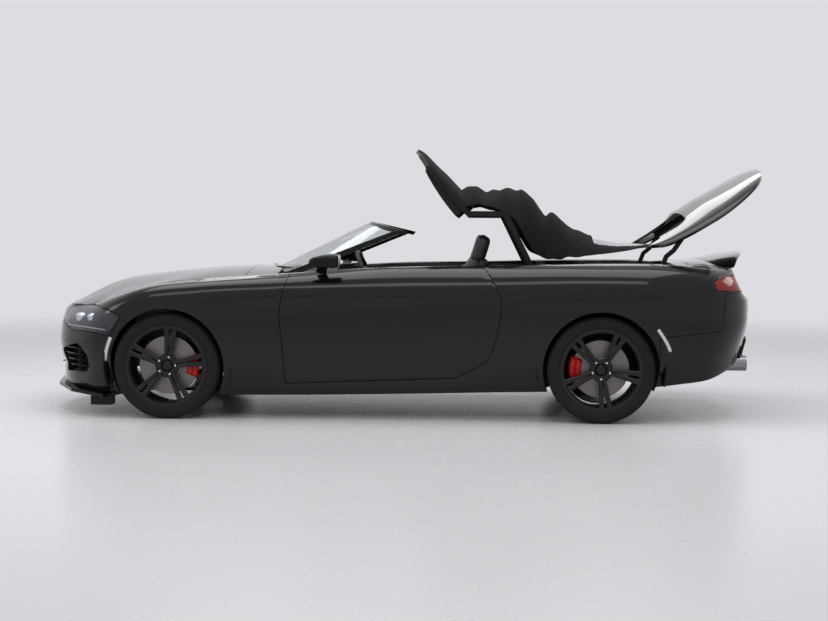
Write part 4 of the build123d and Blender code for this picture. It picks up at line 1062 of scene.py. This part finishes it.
# %% Headlamps and tail lamps
lens_points, lens_faces = panel("lamp")
lens = both_sides("headlamp_lenses", lens_points, lens_faces, "lamp_clear", merge=False)
give_wall(lens, 0.003)
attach(lens, "body")
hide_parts("headlamps")
bucket_points = lens_points - (0.030, 0.045, 0.004)
bucket = both_sides("headlamp_buckets", bucket_points, lens_faces, "matte_black", merge=False)
give_wall(bucket, 0.004)
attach(bucket, "body")
# lamp part: x, y, z, radius
PROJECTORS = ((2.045, .690, .640, .034), (1.945, .775, .645, .030))
LAMP_TURN = math.radians(-40)
cos_turn, sin_turn = math.cos(LAMP_TURN), math.sin(LAMP_TURN)
spin = np.array(((cos_turn, sin_turn, 0), (-sin_turn, cos_turn, 0), (0, 0, 1)))
parts = []
for px, py, pz, pr in PROJECTORS:
    points, faces = lathe([(-.05, pr), (0, pr), (.004, pr * .92), (.010, pr * .75), (.014, pr * .4),
                           (.015, .0001)], 32)
    parts.append((points @ spin + (px, py - .03, pz), faces))
points, faces = collected(parts)
made = both_sides("headlamp_projectors", points, faces, "bright_steel", merge=False)
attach(made, "body")
strip_path = np.array(((2.130, .608, .590), (2.06, .698, .588), (1.97, .778, .585), (1.87, .845, .579),
                       (1.81, .876, .573)))
points, faces = sweep(through(strip_path[None], 6)[:, 0], .006, .004)
made = both_sides("headlamp_strips", points, faces, "marker_white", merge=False)
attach(made, "body")
tail_points, tail_faces = panel("tail_lamp")
made = both_sides("tail_lamp_lenses", tail_points, tail_faces, "lamp_red", merge=False)
give_wall(made, 0.012, bevel=0.001)
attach(made, "body")
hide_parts("tail_lamps")

# %% [markdown]
# ## Door mirrors, handles and small trim
# The mirror head is a superellipsoid, rounder ahead than behind, where the glass sits. It stands
# on a slim stalk at the belt. The handles are flush bars.

# %% Mirrors and handles
def rounded_body(centre, half, power=(2.6, 2.6), count=(40, 28), taper=0.0):
    """Superellipsoid: cosines and sines raised to a power along both angles, with the half sizes
    scaled down toward one end by the taper."""
    a = np.linspace(-np.pi, np.pi, count[0], endpoint=False)[:, None]
    b = np.linspace(-np.pi / 2, np.pi / 2, count[1])[None, :]

    def shaped(value, p):
        return np.sign(value) * np.abs(value) ** (2 / p)

    px = shaped(np.cos(b), power[1]) * shaped(np.cos(a), power[0])
    py = shaped(np.cos(b), power[1]) * shaped(np.sin(a), power[0])
    pz = shaped(np.sin(b), power[1]) + 0 * a
    squeeze = 1 - taper * (px + 1) / 2
    grid = np.stack([px, py * squeeze, pz * squeeze], -1) * half + centre
    return grid.reshape(-1, 3), quads(count[0], count[1], wrap_rows=True)


for side, sign in SIDES.items():
    head_points, head_faces = rounded_body((.372, .946, 1.034), (.100, .073, .055), (3.2, 3.0), taper=0.42)
    head_points[:, 2] -= 0.10 * np.maximum(0, head_points[:, 0] - .372)
    stalk = through(np.array(((.402, .845, .955), (.395, .868, .985), (.390, .905, 1.005)))[None], 5)[:, 0]
    stalk_part = sweep(stalk, .034, .012, side=(1, 0, 0), power=2.2)
    points, faces = collected([(head_points, head_faces), stalk_part])
    made = object_of(f"mirror_{side}_head", points if sign == 1 else mirrored(points), faces, "black_trim")
    tidy_mesh(made)
    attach(made, f"door_{side}")
    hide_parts(f"mirror_{side}")
    glass_points, glass_faces = rounded_body((.274, .946, 1.034), (.0035, .062, .044), (3.2, 3.0),
                                             count=(32, 16))
    made = object_of(f"mirror_{side}_glass", glass_points if sign == 1 else mirrored(glass_points),
                     glass_faces, "bright_steel")
    tidy_mesh(made)
    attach(made, f"door_{side}")
    bar = np.array(((-.395, .905, .846), (-.45, .912, .847), (-.51, .915, .848), (-.57, .9145, .848),
                    (-.632, .909, .847)))
    points, faces = sweep(through(bar[None], 5)[:, 0], .006, .0105, power=3.5)
    made = object_of(f"handle_{side}", points if sign == 1 else mirrored(points), faces, "body_paint")
    tidy_mesh(made)
    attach(made, f"door_{side}")

# %% [markdown]
# ## Storage lid
# The hard lid over the roof's well is a U in plan: a wide plate with two horns that reach
# forward beside the roof. It stands on its rear edge while the roof passes. Two outlines are
# joined by straight runs, and the height follows one crowned surface.

# %% Lid surface between its inner and outer outline
LID_TILT = math.radians(33)
LID_TIP = np.array((-1.731, 0, 1.166))
OUTER = np.array(((0, .600), (.03, .655), (.09, .700), (.20, .728), (.38, .735), (.56, .728), (.68, .693),
                  (.77, .640), (.84, .55), (.885, .430), (.912, .25), (.925, 0)))
INNER = np.array(((0, .578), (.06, .568), (.12, .560), (.18, .548), (.24, .530), (.285, .495),
                  (.300, .45), (.308, .38), (.312, .30), (.316, .2), (.319, .1), (.320, 0)))


def lid_height(along, across_y):
    """Top of the lid above its own plane: an edge height plus a crown that is a parabola across."""
    edge = np.interp(along, (0, .45, .925), (-.060, -.070, -.050))
    arch = np.interp(along, (0, .45, .925), (.100, .123, .070))
    smooth_edge = edge - 0.010 * (1 - ((along - .45) / .475) ** 2)
    return smooth_edge + arch * (1 - (across_y / .735) ** 2)


def lid_place(along, across_y, up_by):
    """From lid coordinates to the car's: along runs up to the rear, at the lid's tilt."""
    px = LID_TIP[0] - along * math.cos(LID_TILT) + up_by * math.sin(LID_TILT)
    pz = LID_TIP[2] + along * math.sin(LID_TILT) + up_by * math.cos(LID_TILT)
    return np.stack([px, across_y, pz], -1)


outer = through(np.pad(OUTER, ((0, 0), (0, 1)))[None], 6)[:, 0, :2]
inner = through(np.pad(INNER, ((0, 0), (0, 1)))[None], 6)[:, 0, :2]
w = np.linspace(0, 1, 25)[None, :, None]
flat = inner[:, None] * (1 - w) + outer[:, None] * w
flat = np.concatenate([flat, (flat * (1, -1))[:-1][::-1]])
roll = 0.022 * np.linspace(0, 1, 25)[None, :] ** 9
up_by = lid_height(flat[..., 0], flat[..., 1]) - roll
lid_grid = lid_place(flat[..., 0], flat[..., 1], up_by)
made = object_of("storage_lid_skin", lid_grid, oriented(lid_grid, (-.5, 0, .8)), "body_paint")
give_wall(made, 0.020, bevel=0.002)
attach(made, "storage_lid")
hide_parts("storage_lid")
print("storage lid", lid_grid.shape)

# %% [markdown]
# ## Roof cloth
# The front section is stretched over its frame. Behind it the cloth hangs loose: it rises and
# falls in soft folds, tumbles down behind the seats, and lies over the rear window to the deck.
# One surface is worked out over the car and split where the roof's links part it.

# %% Front section, stretched
TILT = math.radians(48)
J2 = np.array((-.545, 0, 1.345))


def front_place(along, across_y, up_by):
    """From the tilted front section to the car's axes."""
    px = J2[0] + along * math.cos(TILT) - up_by * math.sin(TILT)
    pz = J2[2] + along * math.sin(TILT) + up_by * math.cos(TILT)
    return np.stack([px, across_y, pz], -1)


u = np.linspace(0, 1, 41)[:, None]
v = np.linspace(-1, 1, 61)[None, :]
half = .590 - .030 * u**2
front_edge = .578 - .178 * (np.abs(v) ** 2.1)
along = .020 + u * (front_edge - .020)
across_y = half * v * np.ones_like(along)
rise = .034 - .008 * u + (.052 - .024 * u) * (1 - np.abs(v) ** 2.2)
edge_roll = .020 * np.abs(v) ** 14 + .018 * u**16
stretch = .0016 * np.sin(5 * np.pi * u) * (1 - v**4)
cloth_front = front_place(along, across_y, rise - edge_roll + stretch)


def declare_sheet(made):
    """Gives the cloth its thickness."""
    give_wall(made, 0.0024, offset=0, angle=60)


made = object_of("cloth_front_section", cloth_front, oriented(cloth_front, (-.7, 0, .7)), "cloth")
declare_sheet(made)
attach(made, "roof_front")
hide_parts("canvas_front")

# %% [markdown]
# Under the cloth's edge a deep rail runs along each side of the front section. It is highest at
# the joint and slims down toward the front.

# %% Side rails of the front section
s = np.linspace(0, 1, 24)
rail_along = .035 + s * (.400 - .035)
rail_depth = .040 - .018 * s**2
rail_path = front_place(rail_along, np.full(24, .574), -.034 + .030 * s**2)
points, faces = sweep(rail_path, .012, rail_depth, side=(0, 1, 0), power=5, count=20)
made = both_sides("roof_front_side_rails", points, faces, "matte_black", merge=False)
tidy_mesh(made)
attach(made, "roof_front")

# %% [markdown]
# The loose cloth's crest and hem were read from the photograph. Between them a section rounds
# over like a low arch. Folds are added as ridges that run across the car, with a phase that
# drifts from side to side so that no two look alike.

# %% Loose cloth behind it
# x, crest height, hem height, half width
LOOSE = np.array(((-.470, 1.505, 1.385, .575), (-.563, 1.541, 1.402, .585), (-.670, 1.508, 1.398, .590),
                  (-.845, 1.526, 1.315, .597), (-.930, 1.500, 1.180, .602), (-.985, 1.462, 1.095, .605),
                  (-1.041, 1.387, 1.058, .610), (-1.085, 1.340, 1.050, .612), (-1.138, 1.346, 1.050, .608),
                  (-1.236, 1.267, 1.062, .592), (-1.373, 1.208, 1.078, .565), (-1.594, 1.168, 1.108, .530),
                  (-1.790, 1.163, 1.150, .492)))
table = through(LOOSE[None, :, :3], 12)[:, 0]
half = np.interp(-table[:, 0], -LOOSE[:, 0], LOOSE[:, 3])
v = np.linspace(-1, 1, 81)[None, :]
x_run, crest_z, hem_z = (table[:, index][:, None] for index in range(3))
lift = crest_z - hem_z
section = 1 - np.abs(v) ** 2.5
loose_z = hem_z + lift * section
fade_in = np.clip((-x_run - .50) / .10, 0, 1) * np.clip((1.45 + x_run) / .3, 0, 1)
fold = (np.sin(-x_run * 62 + 1.4 * np.sin(2.3 * v) + .8) * .007
        + np.sin(-x_run * 33 + 2.1 * np.cos(1.7 * v)) * .006
        + np.abs(np.sin(-x_run * 21 + 1.1 * v)) * .006) * fade_in
long_fold = .004 * np.sin(9 * v + 5 * x_run) * np.clip((-x_run - 1.15) / .2, 0, 1) * (1 - v**8)
loose = np.stack([x_run + 0 * v + fold * .4, half[:, None] * v * (1 + .015 * np.sin(-x_run * 40)) + 0 * x_run,
                  loose_z + fold * (.5 + .5 * section) + long_fold], -1)
loose[..., 2] -= .002 * np.abs(v) ** 10
SPLIT_X = -.842
split_row = int(np.argmin(np.abs(table[:, 0] - SPLIT_X)))
mid_cloth, rear_cloth = loose[: split_row + 1], loose[split_row:]
made = object_of("cloth_middle", mid_cloth, oriented(mid_cloth, (0, 0, 1)), "cloth")
declare_sheet(made)
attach(made, "roof_middle")
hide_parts("canvas_mid")
rear_x, rear_y = rear_cloth[..., 0], rear_cloth[..., 1]
WINDOW_REAR, WINDOW_FRONT, WINDOW_HALF = -1.775, -1.395, .40
window_hole = (rear_x > WINDOW_REAR) & (rear_x < WINDOW_FRONT) & (np.abs(rear_y) < WINDOW_HALF)
cells = oriented(rear_cloth, (0, 0, 1))
hole_share = window_hole.reshape(-1)[cells].mean(1)
made = object_of("cloth_rear", rear_cloth, cells[hole_share < .5], "cloth")
declare_sheet(made)
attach(made, "rear_window")
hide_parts("canvas_rear")
print("loose cloth", loose.shape, "split at row", split_row)

# %% [markdown]
# ## Seats
# Each cushion is a closed form: a rounded section carried along a spine, fuller in the middle
# and drawn in at the ends, with sewn channels pressed into it.

# %% Padded forms
def pad(spine, wide, deep, channels=0, power=3.2, count=40, steps=10, y_at=0.0):
    """Closed cushion: a superellipse swept along a smooth spine, closed by shrinking the section to
    a point at both ends as the fourth root of a parabola, with sewn grooves along it."""
    spine = np.array([(px, y_at, pz) for px, pz in spine])
    line = through(spine[None], steps)[:, 0]
    s = np.linspace(-1, 1, len(line))
    ends = np.clip(1 - np.abs(s) ** 7, 0.0004, 1) ** .5
    points, faces = sweep(line, wide * ends * (1 - .03 * s**2), deep * ends, power=power, count=count,
                          caps=True)
    if channels:
        grid = points.reshape(len(line), count, 3)
        offset = (grid[..., 1] - y_at) / wide
        lengthways = np.exp(-((np.abs(offset) - .52) / .035) ** 2) * .007
        from_seam = np.abs(s[:, None] * channels) % 1 - .5
        crossing = np.exp(-(from_seam / .08) ** 2) * .004 * (np.abs(offset) < .5)
        grid += (line[:, None] - grid) * ((lengthways + crossing) / deep)[..., None]
        points = grid.reshape(-1, 3)
    return points, faces


SEAT_Y, REAR_SEAT_Y = .365, .371
# name, spine (x, z), half width, half depth, channels, y offset
SEAT_PADS = (
    ("cushion", ((-.33, .400), (-.20, .392), (.0, .415), (.14, .450), (.20, .440)), .150, .062, 3, 0),
    ("cushion_side_a", ((-.31, .430), (-.15, .435), (.05, .465), (.17, .470)), .040, .050, 0, .178),
    ("cushion_side_b", ((-.31, .430), (-.15, .435), (.05, .465), (.17, .470)), .040, .050, 0, -.178),
    ("back", ((-.345, .430), (-.405, .560), (-.475, .760), (-.560, .960), (-.625, 1.065)), .150, .052, 4, 0),
    ("back_side_a", ((-.320, .460), (-.375, .600), (-.440, .780), (-.545, .980)), .042, .062, 0, .176),
    ("back_side_b", ((-.320, .460), (-.375, .600), (-.440, .780), (-.545, .980)), .042, .062, 0, -.176),
    ("head", ((-.592, 1.005), (-.625, 1.100), (-.655, 1.203)), .128, .050, 0, 0),
)
for side, sign in SIDES.items():
    for label, spine, wide, deep, channels, offset in SEAT_PADS:
        points, faces = pad(spine, wide, deep, channels, y_at=sign * SEAT_Y + offset)
        made = object_of(f"seat_{side}_{label}", points, faces, "seat_leather")
        tidy_mesh(made)
        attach(made, "body")
        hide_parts("front_seats")
    middle_y = sign * SEAT_Y
    shell_line = np.array(((.15, middle_y, .300), (-.10, middle_y, .285), (-.34, middle_y, .300),
                           (-.43, middle_y, .46), (-.53, middle_y, .75), (-.655, middle_y, 1.03)))
    points, faces = sweep(through(shell_line[None], 8)[:, 0], .205, .028, power=5)
    made = object_of(f"seat_{side}_shell", points, faces, "matte_black")
    tidy_mesh(made)
    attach(made, "body")
    for rail_y in (-.14, .14):
        rail_line = [(px, middle_y + rail_y, .232) for px in (.16, -.10, -.34)]
        points, faces = sweep(rail_line, .018, .027, power=6)
        made = object_of(f"seat_{side}_rail_{'in' if rail_y < 0 else 'out'}", points, faces, "under_metal")
        tidy_mesh(made)
        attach(made, "body")
for side, sign in SIDES.items():
    for label, spine, wide, deep in (("cushion", ((-.76, .43), (-.85, .415), (-.96, .41)), .215, .055),
                                     ("back", ((-.975, .50), (-.99, .64), (-1.01, .82)), .215, .034)):
        points, faces = pad(spine, wide, deep, 2, y_at=sign * REAR_SEAT_Y)
        made = object_of(f"rear_seat_{side}_{label}", points, faces, "seat_leather")
        tidy_mesh(made)
        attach(made, "body")

# %% [markdown]
# ## Steering wheel and door trims
# A ring with a leather rim, a boss and three spokes, tilted as the column is. The door trims are
# shallow shells with an arm rest that swells out of them.

# %% Steering wheel
WHEEL_TILT = math.radians(24)
axis = np.array((-math.cos(WHEEL_TILT), 0, math.sin(WHEEL_TILT)))
aside = np.array((0, 1.0, 0))
upward = np.cross(axis, aside)
centre = np.array((.140, .360, .930))
RING_R, GRIP_R = .172, .0148
a = np.linspace(0, 2 * np.pi, 72, endpoint=False)[:, None]
b = np.linspace(0, 2 * np.pi, 20, endpoint=False)[None, :]
reach = RING_R + GRIP_R * np.cos(b)
ring = (centre + (reach * np.cos(a))[..., None] * aside + (reach * np.sin(a))[..., None] * upward
        + (GRIP_R * np.sin(b) + 0 * a)[..., None] * axis)
parts = [(ring.reshape(-1, 3), quads(72, 20, True, True))]
for angle in (0, 180, 270):
    direction = math.cos(math.radians(angle)) * aside + math.sin(math.radians(angle)) * upward
    if direction[2] > 0.5:
        direction = -direction
    path = centre + np.linspace(.03, .165, 8)[:, None] * direction
    parts.append(sweep(path, .020, .008, side=np.cross(direction, axis), power=3))
boss_path = centre + np.linspace(-.02, .02, 7)[:, None] * axis
boss_r = np.array((.048, .056, .06, .06, .06, .055, .040))
parts.append(sweep(boss_path, boss_r, boss_r, side=aside, power=2.4, count=28))
column_path = centre - np.linspace(.0, .148, 5)[:, None] * axis
parts.append(sweep(column_path, .033, .033, side=aside, power=2.2, count=20))
points, faces = collected(parts)
made = object_of("steering_ring", points, faces, "seat_leather")
tidy_mesh(made)
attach(made, "body")
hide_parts("steering_wheel")

# %% Door trims and quarter trims
TRIM_TOP = {"door": (.60, -.645), "quarter": (-.685, -1.05)}
for label, (x_front, x_rear) in TRIM_TOP.items():
    s = np.linspace(0, 1, 50)[:, None]
    t = np.linspace(0, 1, 30)[None, :]
    px = x_front + (x_rear - x_front) * s + 0 * t
    pz = .34 + t * (.955 - .34) + 0 * s
    if label == "quarter":
        pz = .45 + t * (.965 - .45) + 0 * s
    swell = .030 * np.exp(-((pz - .72) / .045) ** 2) * np.clip((x_front - .15 - px) / .1, 0, 1)
    rest = swell if label == "door" else 0 * px
    py = .797 - .022 * t**3 - rest - .010 * np.sin(np.pi * t) * np.sin(np.pi * s)
    grid = np.stack([px, py, pz], -1)
    for side, sign in SIDES.items():
        points = grid if sign == 1 else mirrored(grid)
        made = object_of(f"{label}_trim_{side}", points, oriented(points, (0, -sign, 0)), "seat_leather")
        give_wall(made, 0.010, bevel=0.002)
        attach(made, f"door_{side}" if label == "door" else "body")

# %% [markdown]
# ## Small trim on the sides
# White marker strips stand ahead of the front wheel and behind the rear one. Two wipers are
# parked at the foot of the windscreen.

# %% Markers and wipers
def on_side(px, pz):
    """Y of the side surface at a place seen from the side: the mean of the nearest six grid
    points, weighted by one over the square of their distance."""
    flat_grid = side_grid.reshape(-1, 3)
    away = (flat_grid[:, 0] - px) ** 2 + (flat_grid[:, 2] - pz) ** 2 + 1e-8
    near = np.argsort(away)[:6]
    return float((flat_grid[near, 1] / away[near]).sum() / (1 / away[near]).sum())


# name, points seen from the side, half height, finish
STRIPS = (
    ("front_markers", ((1.768, .528), (1.790, .475), (1.806, .425), (1.815, .372)), .011, "marker_white"),
    ("rear_markers", ((-1.760, .610), (-1.795, .560), (-1.822, .515), (-1.842, .470)), .010, "marker_white"),
)
for name, path, high, finish in STRIPS:
    line = np.array([(px, on_side(px, pz) + .0015, pz) for px, pz in path])
    points, faces = sweep(through(line[None], 5)[:, 0], .0035, high, power=4)
    made = both_sides(name, points, faces, finish, merge=False)
    tidy_mesh(made)
    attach(made, "body")
parts = []
for base, tip in (((.86, .06, .962), (.62, .60, .978)), ((.885, -.50, .955), (.80, .02, .985))):
    base, tip = np.array(base), np.array(tip)
    middle = (base + tip) / 2 + (.02, 0, .012)
    path = through(np.array((base, middle, tip))[None], 8)[:, 0]
    parts.append(sweep(path, .007, .004, side=(1, 0, .2)))
    knob, knob_faces = lathe([(-.006, .012), (.012, .012), (.016, .004)], 16)
    parts.append((knob[:, [0, 2, 1]] + base, knob_faces))
points, faces = collected(parts)
made = object_of("wipers", points, faces, "matte_black")
tidy_mesh(made)
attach(made, "body")

# %% [markdown]
# ## Room and light
# A pale floor that fades into a bright even room. Large soft lamps lie above and beside the car.
# Black paint shows them as broad smooth bands, so they are wide and their edges are soft.

# %% Floor, room and lamps
FLOOR_HALF, FLOOR_Z = 30, -0.0005
FADE_FROM, FADE_TO = 5.5, 12.0
s = np.linspace(-FLOOR_HALF, FLOOR_HALF, 25)
floor_grid = np.stack(np.meshgrid(s, s, indexing="ij") + [np.full((25, 25), FLOOR_Z)], -1)
floor = object_of("floor", floor_grid, quads(25, 25), "matte_black", shift=False)
floor_finish, tree, shader = finish_of("pale_floor", Base_Color=(0.74, 0.74, 0.76, 1))
speck = node(tree, "ShaderNodeTexNoise", in_Scale=3.0, in_Detail=4.0)
place = node(tree, "ShaderNodeTexCoord")
tree.links.new(place.outputs["Object"], speck.inputs["Vector"])
floor_gloss = math_node(tree, "ADD", math_node(tree, "MULTIPLY", speck.outputs["Fac"], 0.03), 0.26)
tree.links.new(floor_gloss, shader.inputs["Roughness"])
reach = node(tree, "ShaderNodeVectorMath", operation="LENGTH")
fade = node(tree, "ShaderNodeMapRange", interpolation_type="SMOOTHSTEP")
fade.inputs["From Min"].default_value = FADE_FROM
fade.inputs["From Max"].default_value = FADE_TO
clear = node(tree, "ShaderNodeBsdfTransparent")
mixed = node(tree, "ShaderNodeMixShader")
tree.links.new(place.outputs["Object"], reach.inputs[0])
tree.links.new(reach.outputs["Value"], fade.inputs["Value"])
tree.links.new(fade.outputs["Result"], mixed.inputs[0])
tree.links.new(shader.outputs[0], mixed.inputs[1])
tree.links.new(clear.outputs[0], mixed.inputs[2])
tree.links.new(mixed.outputs[0], tree.nodes["Material Output"].inputs["Surface"])
floor.data.materials.clear()
floor.data.materials.append(floor_finish)
world = bpy.data.worlds.new("room")
bpy.context.scene.world = world
world.use_nodes = True
sky = world.node_tree
background = sky.nodes["Background"]
path_kind = node(sky, "ShaderNodeLightPath")
seen = math_node(sky, "MAXIMUM", path_kind.outputs["Is Camera Ray"], path_kind.outputs["Is Transmission Ray"])
seen = math_node(sky, "MAXIMUM", seen, path_kind.outputs["Is Glossy Ray"])
strength = math_node(sky, "ADD", 0.45, math_node(sky, "MULTIPLY", seen, 0.55))
background.inputs["Color"].default_value = (0.72, 0.72, 0.75, 1)
sky.links.new(strength, background.inputs["Strength"])
# name, place, aim, size, power
LAMPS = (
    ("overhead", (0.2, 0.8, 6.0), (0, 0.2, 0), (8.0, 4.0), 300),
    ("left_high", (0.6, 7.0, 5.2), (0, 0, 0.5), (8.0, 1.6), 110),
    ("nose_side", (7.0, 3.0, 4.0), (1.5, 0, 0.4), (3.0, 1.5), 45),
    ("tail_side", (-7.0, -2.0, 4.0), (-1.0, 0, 0.5), (3.0, 1.5), 45),
    ("right_high", (0.0, -6.5, 5.5), (0, 0, 0.5), (7.0, 1.5), 90),
)
for name, spot, aim, size, power in LAMPS:
    lamp = bpy.data.lights.new(name, "AREA")
    lamp.shape = "RECTANGLE"
    lamp.size, lamp.size_y = size
    lamp.energy = power
    holder = bpy.data.objects.new(name, lamp)
    bpy.context.scene.collection.objects.link(holder)
    holder.location = spot
    holder.rotation_euler = (Vector(aim) - Vector(spot)).to_track_quat("-Z", "Y").to_euler()
bpy.context.scene.view_settings.view_transform = "Standard"
